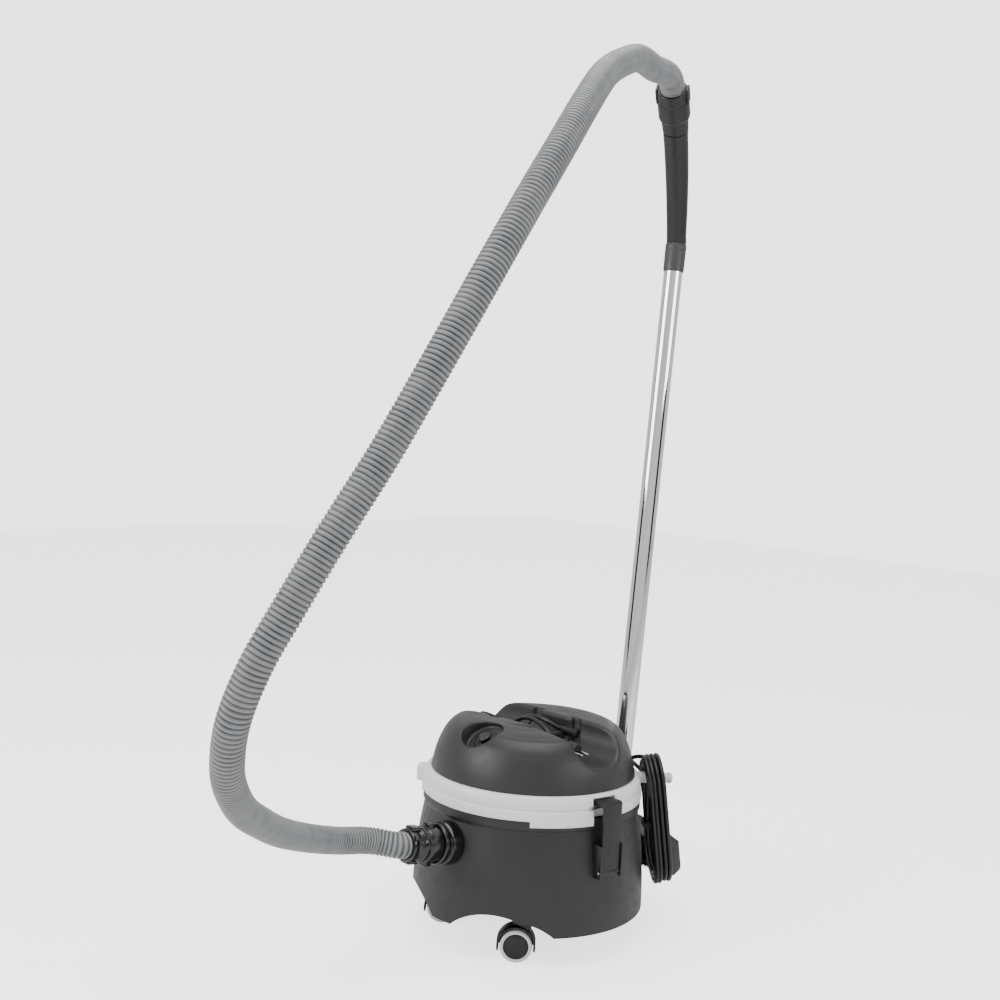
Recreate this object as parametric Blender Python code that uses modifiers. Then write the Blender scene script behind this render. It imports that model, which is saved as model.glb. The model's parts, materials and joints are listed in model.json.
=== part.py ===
"""A commercial tub vacuum cleaner: tub on four swivel casters, a latched motor head with a pale
bumper ring, a corrugated hose, and a chrome wand parked upright in a bracket at the back.

Frame: +Z up, the hose inlet faces -Y, the parked wand stands at +Y, the latches face +X and -X.
All lengths are metres. Parts are placed about the tub's vertical axis, and the whole model is then
moved so that the middle of its footprint is the origin.
"""

import math

import bmesh
import bpy
from mathutils import Matrix, Vector

# ------------------------------------------------------------------ driving dimensions
GAP = 0.0003            # air left between pieces that touch
RUN = 0.0005            # radial clearance of pieces that turn or slide

# casters
WHEEL_R = 0.0250
WHEEL_T = 0.0125
WHEEL_SPLIT = 0.0032    # half the space between a caster's two wheels
AXLE_R = 0.0040
HOOD_GAP = 0.0022       # air between a wheel and its hood
HOOD_T = 0.0028
HOOD_R = WHEEL_R + HOOD_GAP + HOOD_T
TRAIL = 0.0120          # swivel axis to axle
STEM_R = 0.0053
BOSS_R = 0.0200
BOSS_Z = WHEEL_R + HOOD_R + 0.0055      # lower face of the boss that takes the stem
POCKET_R = TRAIL + HOOD_R + 0.0060      # room to swivel, cut into the skirt
CASTER_ANGLES = {"front_right": -46.0, "front_left": -134.0, "rear_right": 60.0, "rear_left": 120.0}
CASTER_TURNS = {"front_right": 44.0, "front_left": 226.0, "rear_right": -120.0, "rear_left": -60.0}

# tub
TUB_RIM_R = 0.1755
TUB_HEIGHT = 0.1400     # underside of the floor to the rim
FLOOR_Z = BOSS_Z + 0.0215               # underside of the tub's floor
FLOOR_T = 0.0040
TUB_RIM_Z = FLOOR_Z + TUB_HEIGHT
SKIRT_Z = FLOOR_Z - 0.0340              # lower edge of the skirt
TUB_NECK_R = TUB_RIM_R - 0.0035         # just below the rim band
TUB_FOOT_R = TUB_RIM_R + 0.0110
TUB_WALL = 0.0035
RIM_BAND = 0.0125       # height of the proud band under the rim
RIM_FLANGE = 0.0140     # width of the flat face the head sits on
CASTER_PITCH_R = TUB_RIM_R - 0.0275

# inlet and hose
INLET_Z = FLOOR_Z + 0.0620              # where the inlet's axis meets the tub's axis
INLET_RISE = 8.0        # degrees the inlet points above level
INLET_BORE_R = 0.0245
FLANGE_R = 0.0335
FLANGE_FACE = TUB_RIM_R + 0.0245        # along the inlet's axis
FLANGE_LIP = 0.0120
CONNECTOR_FRONT = FLANGE_FACE + FLANGE_LIP + GAP
CONNECTOR_R = 0.0275
HOSE_R = 0.0200
COLLAR_CARD = 0.0800    # side of the bag's card collar

# ring and head
RING_HEIGHT = 0.0375    # tub rim to the ring's top
RING_TOP_Z = TUB_RIM_Z + RING_HEIGHT
RING_R = TUB_RIM_R + 0.0010
RING_BORE_R = TUB_RIM_R - 0.0150
APRON_DROP = 0.0078     # how far the ring reaches lower beside each latch
HEAD_R = TUB_RIM_R - 0.0105
HEAD_HEIGHT = 0.0830
HEAD_TOP_Z = RING_TOP_Z + HEAD_HEIGHT
HEAD_WALL = 0.0030
TROUGH_HALF = 0.0500
TROUGH_MID_Z = HEAD_TOP_Z + 0.0035
TROUGH_FLOOR_Z = HEAD_TOP_Z - 0.0485
BAR_HALF = 0.0330       # half the length of the carrying bar along the trough
BAR_TOP_Z = HEAD_TOP_Z - 0.0195
BAR_T = 0.0115
DISH_R = 0.0325
DISH_TILT = 32.0
DISH_DEPTH = 0.0100
DISH_PLACE = Vector((0.0, -(HEAD_R - 0.0510), HEAD_TOP_Z - 0.0155))
BUTTON_TRAVEL = 0.0018  # how far the hose cuff's release button is pressed

# latches
LATCH_ANGLES = {"right": -6.0, "left": 186.0}
LATCH_HALF = 0.0180
LATCH_T = 0.0048
LATCH_PIVOT = (TUB_RIM_R + 0.0160, FLOOR_Z + 0.0630)    # radius and height of the pin
LATCH_TOP_Z = TUB_RIM_Z + 0.0305
LATCH_FOOT_Z = LATCH_PIVOT[1] - 0.0080
CATCH_PLACE = (TUB_RIM_R - 0.0030, TUB_RIM_Z + 0.0185)  # radius and height of the catch rod
CATCH_R = 0.0025
CHEEK_T = 0.0030
CHEEK_GAP = 0.0010      # latch to bracket cheek
NICHE_GAP = 0.0045      # latch to the side of its niche in the ring

# wand, parked
WAND_LEAN = 4.3         # degrees the parked wand leans back
TUBE_R = 0.0160
TUBE_WALL = 0.0012
NECK_R = TUBE_R + 0.0035
FORK_SLOT = NECK_R + 0.0017
WAND_FOOT = Vector((0.0, TUB_RIM_R + 0.0200 + NECK_R, FLOOR_Z + 0.0880))
TUBE_LENGTH = 0.9500
TUBE_DEPTH = 0.0400     # how deep the tube sits in the neck
SLEEVE_LENGTH = 0.0480
HANDLE_TURN = -60.0     # degrees from +X towards which the handle bends
GRIP_LENGTH = 0.2450
GRIP_ENDS = (24.0, 55.0)            # angle from the wand's line, at the foot and at the mouth
NOZZLE_HALF = 0.1180
NOZZLE_TILT = 25.0
NOZZLE_DEPTH = 0.0820
PIVOT_DROP = 0.0370     # nozzle pivot below the collar

# cord
CORD_R = 0.0035
HANK_ANGLE = 50.0
HANK_PLACE_R = TUB_RIM_R + 0.0295
HANK_MID_Z = RING_TOP_Z - 0.0765
HANK_TILT = 8.0
HANK_HALF_WIDTH = 0.0500
HANK_HALF_HEIGHT = 0.1050
HANK_BUNDLE = 0.0270    # width of the bundle in the plane of the loop
HANK_T = 0.0290

BIG_SIDES = 36
SMALL_SIDES = 24

# ------------------------------------------------------------------ scene and helpers
for thing in list(bpy.data.objects):
    bpy.data.objects.remove(thing, do_unlink=True)

PARTS = bpy.data.collections.new("tub_vacuum")
CUTTERS = bpy.data.collections.new("cutters")
bpy.context.scene.collection.children.link(PARTS)
bpy.context.scene.collection.children.link(CUTTERS)


def material(name, colour, roughness, metallic=0.0):
    made = bpy.data.materials.new(name)
    made.use_nodes = True
    shader = made.node_tree.nodes["Principled BSDF"]
    shader.inputs["Base Color"].default_value = (*colour, 1.0)
    shader.inputs["Roughness"].default_value = roughness
    shader.inputs["Metallic"].default_value = metallic
    return made


TUB_GREY = material("tub_grey", (0.045, 0.045, 0.047), 0.55)
HEAD_GREY = material("head_grey", (0.060, 0.060, 0.063), 0.50)
PALE = material("pale_plastic", (0.80, 0.81, 0.83), 0.35)
BLACK = material("black_plastic", (0.015, 0.015, 0.016), 0.40)
GLOSS_BLACK = material("gloss_black", (0.010, 0.010, 0.010), 0.18)
SLEEVE_GREY = material("sleeve_grey", (0.090, 0.090, 0.092), 0.45)
CHROME = material("chrome", (0.80, 0.80, 0.81), 0.08, 1.0)
STEEL = material("steel", (0.60, 0.60, 0.61), 0.30, 1.0)
HOSE_GREY = material("hose_grey", (0.42, 0.43, 0.44), 0.40)
CORD_BLACK = material("cord_black", (0.020, 0.020, 0.022), 0.45)
CLOTH = material("filter_cloth", (0.70, 0.70, 0.66), 0.90)
CARD = material("card", (0.45, 0.33, 0.20), 0.85)
RUBBER = material("rubber", (0.020, 0.020, 0.020), 0.75)
BRISTLE = material("bristle", (0.050, 0.050, 0.055), 0.80)
COPPER = material("copper", (0.60, 0.30, 0.16), 0.35, 1.0)


def empty(name, parent=None, place=(0, 0, 0), turn=None):
    """An axis system: parts are modelled in it and move with it."""
    made = bpy.data.objects.new(name, None)
    PARTS.objects.link(made)
    made.parent = parent
    made.matrix_basis = Matrix.Translation(place) @ (turn or Matrix.Identity(4))
    return made


def about(axis, degrees):
    return Matrix.Rotation(math.radians(degrees), 4, axis)


def along(direction, up="Y"):
    """The turn that takes +Z to a direction."""
    return Vector(direction).to_track_quat("Z", up).to_matrix().to_4x4()


def finish(obj, parent, finish_material=None):
    """Files an object as a part, or as a cutter where it has no material."""
    obj.parent = parent
    if finish_material is None:
        CUTTERS.objects.link(obj)
        obj.hide_render = True
        obj.display_type = "WIRE"
    else:
        PARTS.objects.link(obj)
        obj.data.materials.append(finish_material)
    return obj


def from_bmesh(name, mesh_edit, parent, finish_material=None, smooth=False):
    mesh = bpy.data.meshes.new(name)
    mesh_edit.to_mesh(mesh)
    mesh_edit.free()
    if smooth:
        mesh.shade_smooth()
        mesh.set_sharp_from_angle(angle=math.radians(35))
    return finish(bpy.data.objects.new(name, mesh), parent, finish_material)


def turned(name, profile, parent, finish_material=None, sides=BIG_SIDES, ring=False, sweep=360.0):
    """A turned shape about +Z from (radius, height) points that run down the outer side."""
    mesh = bpy.data.meshes.new(name)
    count = len(profile)
    edges = [(i, i + 1) for i in range(count - 1)] + ([(count - 1, 0)] if ring else [])
    mesh.from_pydata([(r, 0.0, z) for r, z in profile], edges, [])
    obj = finish(bpy.data.objects.new(name, mesh), parent, finish_material)
    screw = obj.modifiers.new("turn", "SCREW")
    screw.angle = math.radians(sweep)
    screw.steps = screw.render_steps = sides
    screw.use_merge_vertices = True
    screw.merge_threshold = 0.00001
    screw.use_smooth_shade = True
    return obj


def cylinder(name, radius, low, high, parent, finish_material=None, sides=SMALL_SIDES, place=(0, 0),
             top_radius=None, turn=None):
    edit = bmesh.new()
    bmesh.ops.create_cone(edit, cap_ends=True, segments=sides, radius1=radius,
                          radius2=radius if top_radius is None else top_radius, depth=high - low)
    bmesh.ops.translate(edit, verts=edit.verts, vec=(place[0], place[1], (low + high) / 2))
    if turn is not None:
        bmesh.ops.transform(edit, matrix=turn, verts=edit.verts)
    return from_bmesh(name, edit, parent, finish_material, smooth=True)


def box(name, low, high, parent, finish_material=None, bevel=0.0, bevel_steps=2):
    edit = bmesh.new()
    bmesh.ops.create_cube(edit, size=1.0)
    size = Vector(high) - Vector(low)
    middle = (Vector(high) + Vector(low)) / 2
    bmesh.ops.transform(edit, matrix=Matrix.Translation(middle) @ Matrix.Diagonal((*size, 1.0)),
                        verts=edit.verts)
    obj = from_bmesh(name, edit, parent, finish_material)
    if bevel:
        soften(obj, bevel, bevel_steps)
    return obj


def soften(obj, width, steps=2):
    bevel = obj.modifiers.new("edges", "BEVEL")
    bevel.width = width
    bevel.segments = steps
    bevel.limit_method = "ANGLE"
    bevel.angle_limit = math.radians(40)
    return obj


def as_mesh(curve_object):
    """A curve made a closed mesh, so that it can be cut and joined."""
    bpy.context.view_layer.update()
    graph = bpy.context.evaluated_depsgraph_get()
    mesh = bpy.data.meshes.new_from_object(curve_object.evaluated_get(graph))
    edit = bmesh.new()
    edit.from_mesh(mesh)
    bmesh.ops.remove_doubles(edit, verts=edit.verts, dist=0.000005)
    bmesh.ops.recalc_face_normals(edit, faces=edit.faces)
    edit.to_mesh(mesh)
    edit.free()
    name, parent = curve_object.name, curve_object.parent
    collection = curve_object.users_collection[0]
    basis = curve_object.matrix_basis.copy()
    hidden, shown = curve_object.hide_render, curve_object.display_type
    bpy.data.objects.remove(curve_object)
    made = bpy.data.objects.new(name, mesh)
    collection.objects.link(made)
    made.parent = parent
    made.matrix_basis = basis
    made.hide_render, made.display_type = hidden, shown
    return made


def plate(name, outlines, low, high, parent, finish_material=None, turn=None):
    """Flat outlines in XY, the first one outside and any others holes, raised from low to high."""
    curve = bpy.data.curves.new(name, "CURVE")
    curve.dimensions = "2D"
    curve.fill_mode = "BOTH"
    curve.extrude = (high - low) / 2
    for outline in outlines:
        spline = curve.splines.new("POLY")
        spline.points.add(len(outline) - 1)
        for point, (x, y) in zip(spline.points, outline):
            point.co = (x, y, 0.0, 1.0)
        spline.use_cyclic_u = True
    obj = finish(bpy.data.objects.new(name, curve), parent, finish_material)
    made = as_mesh(obj)
    made.data.transform((turn or Matrix.Identity(4)) @ Matrix.Translation((0, 0, (low + high) / 2)))
    return made


def pipe(name, points, radius, parent, finish_material=None, resolution=3, solid=False, radii=None):
    """A round bar along a path."""
    curve = bpy.data.curves.new(name, "CURVE")
    curve.dimensions = "3D"
    curve.bevel_depth = radius
    curve.bevel_resolution = resolution
    curve.use_fill_caps = True
    spline = curve.splines.new("POLY")
    spline.points.add(len(points) - 1)
    for index, (point, at) in enumerate(zip(spline.points, points)):
        point.co = (*at, 1.0)
        point.radius = radii[index] if radii else 1.0
    obj = finish(bpy.data.objects.new(name, curve), parent, finish_material)
    return as_mesh(obj) if solid else obj


def boolean(obj, other, operation):
    step = obj.modifiers.new(other.name, "BOOLEAN")
    step.operation = operation
    step.object = other
    return obj


def cut(obj, *others):
    for other in others:
        boolean(obj, other, "DIFFERENCE")
    return obj


def join(obj, *others):
    for other in others:
        boolean(obj, other, "UNION")
    return obj


def arc(centre, radius, start, stop, steps):
    """Points on a circle's arc, angles in degrees."""
    spread = [start + (stop - start) * i / steps for i in range(steps + 1)]
    return [(centre[0] + radius * math.cos(math.radians(a)), centre[1] + radius * math.sin(math.radians(a)))
            for a in spread]


def smooth_path(points, count):
    """Evenly spread points on a smooth curve through the given ones."""
    knots = [Vector(p) for p in points]
    knots = [2 * knots[0] - knots[1]] + knots + [2 * knots[-1] - knots[-2]]
    fine = []
    for a, b, c, d in zip(knots, knots[1:], knots[2:], knots[3:]):
        ab, bc, cd = ((q - p).length for p, q in ((a, b), (b, c), (c, d)))
        way_b = bc * ((b - a) / ab - (c - a) / (ab + bc) + (c - b) / bc)
        way_c = bc * ((c - b) / bc - (d - b) / (bc + cd) + (d - c) / cd)
        for step in range(16):
            t = step / 16
            fine.append((2 * t ** 3 - 3 * t ** 2 + 1) * b + (t ** 3 - 2 * t ** 2 + t) * way_b
                        + (3 * t ** 2 - 2 * t ** 3) * c + (t ** 3 - t ** 2) * way_c)
    fine.append(knots[-2])
    run = [0.0]
    for a, b in zip(fine, fine[1:]):
        run.append(run[-1] + (b - a).length)
    spread, index = [], 0
    for step in range(count):
        goal = run[-1] * step / (count - 1)
        while index < len(run) - 2 and run[index + 1] < goal:
            index += 1
        share = (goal - run[index]) / (run[index + 1] - run[index])
        spread.append(fine[index].lerp(fine[index + 1], share))
    return spread


MACHINE = empty("machine")
HEAD = empty("head_frame", MACHINE)
INLET = empty("inlet_frame", MACHINE, (0, 0, INLET_Z),
              along((0, -math.cos(math.radians(INLET_RISE)), math.sin(math.radians(INLET_RISE)))))
WAND = empty("wand_frame", MACHINE, WAND_FOOT, about("X", -WAND_LEAN))


# ------------------------------------------------------------------ tub
def tub_wall_points(offset=0.0):
    """The tub's outer wall from the rim down to the foot: radius and height."""
    def up(share):
        return FLOOR_Z + TUB_HEIGHT * share

    return [(TUB_RIM_R + offset, TUB_RIM_Z), (TUB_RIM_R + offset, TUB_RIM_Z - RIM_BAND),
            (TUB_NECK_R + offset, TUB_RIM_Z - RIM_BAND - 0.0040),
            (TUB_NECK_R + 0.0018 + offset, up(0.814286)), (TUB_NECK_R + 0.0070 + offset, up(0.585714)),
            (TUB_FOOT_R - 0.0025 + offset, up(0.235714)), (TUB_FOOT_R - 0.0006 + offset, FLOOR_Z),
            (TUB_FOOT_R + offset, SKIRT_Z)]


def tub_envelope(name, offset):
    """The space the tub fills, as a cutter for what seats against its wall."""
    wall = [p for p in tub_wall_points(offset) if p[1] > FLOOR_Z]
    return turned(name, [(0, wall[0][1] + 0.03), (wall[0][0], wall[0][1] + 0.03), *wall,
                         (wall[-1][0], SKIRT_Z), (0, SKIRT_Z)], MACHINE)


def caster_place(angle):
    return Vector((CASTER_PITCH_R * math.cos(math.radians(angle)),
                   CASTER_PITCH_R * math.sin(math.radians(angle)), 0.0))


def make_tub():
    outer = tub_wall_points()
    skirt_inside = [(TUB_FOOT_R - TUB_WALL, SKIRT_Z), (TUB_FOOT_R - 0.0006 - TUB_WALL, FLOOR_Z)]
    inside = [(r - TUB_WALL, z) for r, z in outer[3:6]][::-1]
    flange_r = TUB_RIM_R - RIM_FLANGE
    profile = ([(0, FLOOR_Z + FLOOR_T), (TUB_FOOT_R - 0.0006 - TUB_WALL, FLOOR_Z + FLOOR_T)] + inside
               + [(TUB_NECK_R - TUB_WALL, TUB_RIM_Z - 0.0100), (flange_r, TUB_RIM_Z - 0.0060),
                  (flange_r, TUB_RIM_Z)] + outer + skirt_inside + [(0, FLOOR_Z)])
    tub = turned("tub_shell", profile, MACHINE, TUB_GREY)
    for name, angle in CASTER_ANGLES.items():
        at = caster_place(angle)
        boss = cylinder(f"boss_{name}", BOSS_R, BOSS_Z, FLOOR_Z + 0.001, MACHINE, sides=16, place=at)
        socket = cylinder(f"socket_{name}", STEM_R + RUN, BOSS_Z - 0.002, FLOOR_Z - 0.0015, MACHINE,
                          sides=12, place=at)
        roof = FLOOR_Z - 0.0040
        pocket = turned(f"pocket_{name}", [(0, roof), (POCKET_R - 0.0180, roof), (POCKET_R + 0.0080, SKIRT_Z),
                                           (POCKET_R + 0.0080, 0), (0, 0)], MACHINE, sides=24)
        pocket.matrix_basis = Matrix.Translation(at)
        front = name.startswith("front")
        height = FLOOR_Z - 0.0040 - SKIRT_Z
        half = 0.0740 if front else 0.0520
        radius = (half ** 2 + height ** 2) / (2 * height)
        away = math.copysign(14.5, angle + 90) if front else 0.0
        spin = about("Z", angle - away)
        arch = cylinder(f"arch_{name}", radius, CASTER_PITCH_R - 0.0280, TUB_FOOT_R + 0.0235, MACHINE,
                        sides=48,
                        turn=spin @ Matrix.Translation((0, 0, SKIRT_Z + height - radius)) @ about("Y", 90))
        cut(tub, pocket, arch)
        join(tub, boss)
        cut(tub, socket)
    bore = cylinder("inlet_hole", INLET_BORE_R + 0.0020 + GAP, FLANGE_FACE - 0.0500, FLANGE_FACE, INLET,
                    sides=24)
    cut(tub, bore)
    return tub


TUB_SHAPE = tub_envelope("tub_shape", GAP)
TUB = make_tub()


# ------------------------------------------------------------------ casters
def make_caster(name, angle, turn):
    """A hooded twin wheel caster. Its axle lies along the swivel frame's Y, one trail behind the stem."""
    swivel = empty(f"swivel_{name}", MACHINE, caster_place(angle), about("Z", turn))
    axle = empty(f"axle_{name}", swivel, (-TRAIL, 0, WHEEL_R), about("X", 90))
    half = WHEEL_SPLIT + WHEEL_T - 0.0010
    hood_outline = (arc((0, 0), HOOD_R, -14, 194, 13) + arc((0, 0), HOOD_R - HOOD_T, 194, -14, 13))
    hood = plate(f"caster_hood_{name}", [hood_outline], -half, half, axle, BLACK)
    web_outline = arc((0, 0), HOOD_R - HOOD_T / 2, 0, 180, 9) + arc((0, 0), 0.0085, 180, 360, 5)
    web = plate(f"web_{name}", [web_outline], -WHEEL_SPLIT + 0.0006, WHEEL_SPLIT - 0.0006, axle)
    bearing = cylinder(f"bearing_{name}", AXLE_R + 0.0003, -0.01, 0.01, axle, sides=12)
    neck = cylinder(f"neck_{name}", 0.0095, WHEEL_R + HOOD_R - 0.0050, BOSS_Z - 0.0008, swivel, sides=12)
    stem = cylinder(f"stem_{name}", STEM_R, BOSS_Z - 0.0015, FLOOR_Z - 0.0030, swivel, sides=12)
    join(hood, web, neck, stem)
    cut(hood, bearing)
    inner, outer = WHEEL_SPLIT, WHEEL_SPLIT + WHEEL_T
    rim = 0.0022
    half_wheel = [(0, outer), (WHEEL_R - rim, outer), (WHEEL_R, outer - rim), (WHEEL_R, inner), (AXLE_R, inner)]
    profile = half_wheel + [(r, -z) for r, z in half_wheel[::-1]]
    turned(f"caster_wheel_{name}", profile, axle, PALE, sides=20)
    return swivel


for caster, bearing_angle in CASTER_ANGLES.items():
    make_caster(caster, bearing_angle, CASTER_TURNS[caster])


# ------------------------------------------------------------------ inlet, bag and hose connector
def make_inlet():
    face, front = FLANGE_FACE, FLANGE_FACE + FLANGE_LIP
    seat, tail = FLANGE_FACE - 0.0300, FLANGE_FACE - 0.0620
    tube_r = INLET_BORE_R + 0.0020
    flange = turned("inlet_flange", [
        (INLET_BORE_R, front), (FLANGE_R - 0.0025, front), (FLANGE_R - 0.0015, front - 0.0010),
        (FLANGE_R - 0.0015, face), (FLANGE_R, face), (FLANGE_R, seat),
        (tube_r, seat), (tube_r, tail), (INLET_BORE_R, tail)], INLET, GLOSS_BLACK, 24, ring=True)
    sleeve = turned("flange_seat", [
        (FLANGE_R + 0.004, face - 0.0010), (FLANGE_R + 0.004, seat - 0.0100), (tube_r - 0.0004, seat - 0.0100),
        (tube_r - 0.0004, face - 0.0010)], INLET, sides=24, ring=True)
    boolean(sleeve, TUB_SHAPE, "INTERSECT")
    cut(flange, sleeve)
    half, thick, at = COLLAR_CARD / 2, 0.0030, tail + 0.0090
    outline = [(-half, -half + 0.004), (-half + 0.004, -half), (half - 0.004, -half), (half, -half + 0.004),
               (half, half - 0.004), (half - 0.004, half), (-half + 0.004, half), (-half, half - 0.004)]
    hole = arc((0, 0), tube_r + GAP, 0, 345, 23)
    plate("bag_collar", [outline, hole], at, at + thick, INLET, CARD)
    bag_r = TUB_RIM_R - 0.0375
    bag_low, bag_high = FLOOR_Z + FLOOR_T + GAP, FLOOR_Z + 0.0470
    middle, half_bag = (bag_low + bag_high) / 2, (bag_high - bag_low) / 2
    edge = [(bag_r - half_bag + half_bag * math.sin(math.radians(a)),
             middle + half_bag * math.cos(math.radians(a))) for a in range(0, 181, 45)]
    turned("filter_bag", [(0, bag_high)] + edge + [(0, bag_low)], MACHINE, CLOTH, 28)
    return flange


make_inlet()


def make_connector():
    """The hose's bayonet end: it plugs into the flange and turns to lock."""
    front, nose = CONNECTOR_FRONT, FLANGE_FACE - 0.0150
    body = turned("hose_connector", [
        (HOSE_R + GAP, front + 0.0570), (CONNECTOR_R - 0.0035, front + 0.0570),
        (CONNECTOR_R - 0.0025, front + 0.0540), (CONNECTOR_R - 0.0035, front + 0.0400),
        (CONNECTOR_R - 0.0005, front + 0.0370), (CONNECTOR_R, front + 0.0330), (CONNECTOR_R, front + 0.0010),
        (CONNECTOR_R - 0.0010, front), (INLET_BORE_R - RUN, front), (INLET_BORE_R - RUN, nose),
        (HOSE_R - 0.0010, nose), (HOSE_R - 0.0010, front + 0.0250), (HOSE_R + GAP, front + 0.0250)],
        INLET, GLOSS_BLACK, 24, ring=True)
    for side in (1, -1):
        lug = box(f"lug_{side}", (-0.0085, 0.0225, front + 0.0040), (0.0085, CONNECTOR_R + 0.0055, front + 0.0200),
                  INLET, bevel=0.0028, bevel_steps=1)
        ear = box(f"ear_{side}", (-0.0095, 0.0220, front + 0.0330), (0.0095, CONNECTOR_R + 0.0005, front + 0.0520),
                  INLET, bevel=0.0016)
        for piece in (lug, ear):
            piece.matrix_basis = about("Z", 90 - side * 90)
        join(body, lug, ear)
    return body


make_connector()


# ------------------------------------------------------------------ bumper ring and motor head
def polar_frame(name, angle, parent):
    """Local X points outwards at this angle, local Y along the rim."""
    return empty(name, parent, (0, 0, 0), about("Z", angle))


LATCH_FRAMES = {side: polar_frame(f"latch_side_{side}", angle, MACHINE)
                for side, angle in LATCH_ANGLES.items()}


def make_ring():
    low = TUB_RIM_Z + GAP
    profile = [(RING_BORE_R, RING_TOP_Z), (HEAD_R + 0.0020, RING_TOP_Z), (RING_R - 0.0055, RING_TOP_Z - 0.0012),
               (RING_R - 0.0020, RING_TOP_Z - 0.0070), (RING_R - 0.0020, low + 0.0187), (RING_R - 0.0038, low + 0.0177),
               (RING_R - 0.0038, low + 0.0159), (RING_R, low + 0.0137), (RING_R, low), (RING_BORE_R, low)]
    ring = turned("bumper_ring", profile, HEAD, PALE, ring=True)
    for side, frame in LATCH_FRAMES.items():
        forward = -1 if side == "right" else 1
        first = 6.0 if forward > 0 else -40.0
        bend = (arc((0, 0), RING_R + 0.0016, first, first + 34.0, 12)
                + arc((0, 0), TUB_RIM_R + 0.0006, first + 34.0, first, 12))
        apron = plate(f"apron_{side}", [bend], low - APRON_DROP, low + 0.0030, frame)
        niche = box(f"niche_{side}", (RING_R - 0.0115, -LATCH_HALF - NICHE_GAP, low - 0.0220),
                    (RING_R + 0.0235, LATCH_HALF + NICHE_GAP, LATCH_TOP_Z + 0.0030), frame)
        reach = LATCH_HALF + NICHE_GAP + 0.0060
        hole = cylinder(f"rod_hole_{side}", CATCH_R + GAP, -reach - GAP, reach + GAP, frame, sides=12,
                        turn=Matrix.Translation((CATCH_PLACE[0], 0, CATCH_PLACE[1])) @ about("X", 90))
        join(ring, apron)
        cut(ring, niche, hole)
        cylinder(f"catch_rod_{side}", CATCH_R, -reach, reach, frame, STEEL, sides=12,
                 turn=Matrix.Translation((CATCH_PLACE[0], 0, CATCH_PLACE[1])) @ about("X", 90))
    tab_frame = polar_frame("tab_frame", 217.0, HEAD)
    tab = box("grip_tab", (RING_R - 0.0065, -0.0110, low + 0.0010), (RING_R + 0.0135, 0.0110, low + 0.0280),
              tab_frame, bevel=0.0045)
    join(ring, tab)
    hook_frame = polar_frame("hook_frame", HANK_ANGLE, HEAD)
    hook_z, hook_r = RING_TOP_Z - 0.0105, 0.0090
    level = Matrix.Translation((0, 0, hook_z)) @ about("Y", 90)
    hook_hole = cylinder("hook_hole", hook_r + GAP, RING_BORE_R - 0.0105, RING_R + 0.0235, hook_frame,
                         sides=24, turn=level)
    cut(ring, hook_hole)
    hook = cylinder("cord_hook", hook_r, RING_BORE_R + 0.0020, RING_R + 0.0525, hook_frame, PALE,
                    sides=24, turn=level)
    soften(hook, 0.0030)
    groove_r, groove = TUB_RIM_R - 0.0115, 0.0022
    seal_groove = turned("seal_groove", [
        (groove_r + groove, low + groove), (groove_r + groove, low - 0.001), (groove_r - groove, low - 0.001),
        (groove_r - groove, low + groove)], HEAD, sides=BIG_SIDES, ring=True)
    cut(ring, seal_groove)
    thin = groove - GAP
    turned("head_seal", [(groove_r + thin, low + thin), (groove_r + thin, low), (groove_r - thin, low),
                         (groove_r - thin, low + thin)], HEAD, RUBBER, sides=BIG_SIDES, ring=True)
    return ring


make_ring()


def dome_points(inset=0.0):
    """The head's outer profile from its top middle down to its foot."""
    foot = RING_TOP_Z + GAP
    outline = [(HEAD_R - 0.0590, HEAD_TOP_Z - 0.0010), (HEAD_R - 0.0440, HEAD_TOP_Z - 0.0040),
               (HEAD_R - 0.0320, HEAD_TOP_Z - 0.0095), (HEAD_R - 0.0230, HEAD_TOP_Z - 0.0185),
               (HEAD_R - 0.0150, HEAD_TOP_Z - 0.0320),
               (HEAD_R - 0.0060, HEAD_TOP_Z - 0.0560), (HEAD_R, foot)]
    if not inset:
        return [(0, HEAD_TOP_Z)] + outline
    tucked = []
    for before, here, after in zip([(0, HEAD_TOP_Z)] + outline, outline, outline[1:] + [outline[-1]]):
        way = Vector((after[0] - before[0], after[1] - before[1])).normalized()
        tucked.append((here[0] + way[1] * inset, here[1] - way[0] * inset))
    tucked[-1] = (HEAD_R - inset, foot - 0.0010)
    return [(0, HEAD_TOP_Z - inset)] + tucked


def trough_outline(grow=0.0):
    """The trough's cross-section: a flat-bottomed U, open at the top. Across, then up."""
    half = TROUGH_HALF + grow
    deep = TROUGH_MID_Z - TROUGH_FLOOR_Z + grow
    power = 2.0 / 2.6
    lower = []
    for step in range(15):
        a = math.radians(180 * step / 14)
        lower.append((-half * math.copysign(abs(math.cos(a)) ** power, math.cos(a)),
                      TROUGH_MID_Z - deep * math.sin(a) ** power))
    return lower + [(half + 0.004, HEAD_TOP_Z + 0.02), (-half - 0.004, HEAD_TOP_Z + 0.02)]


def trough_cutter(name, low, high, grow=0.0):
    """Runs along X. The outline's first axis becomes Y and its second Z."""
    turn = Matrix(((0, 0, 1, 0), (1, 0, 0, 0), (0, 1, 0, 0), (0, 0, 0, 1)))
    return plate(name, [trough_outline(grow)], low, high, HEAD, turn=turn)


DISH = empty("dish_frame", HEAD, DISH_PLACE, about("X", DISH_TILT))


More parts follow.
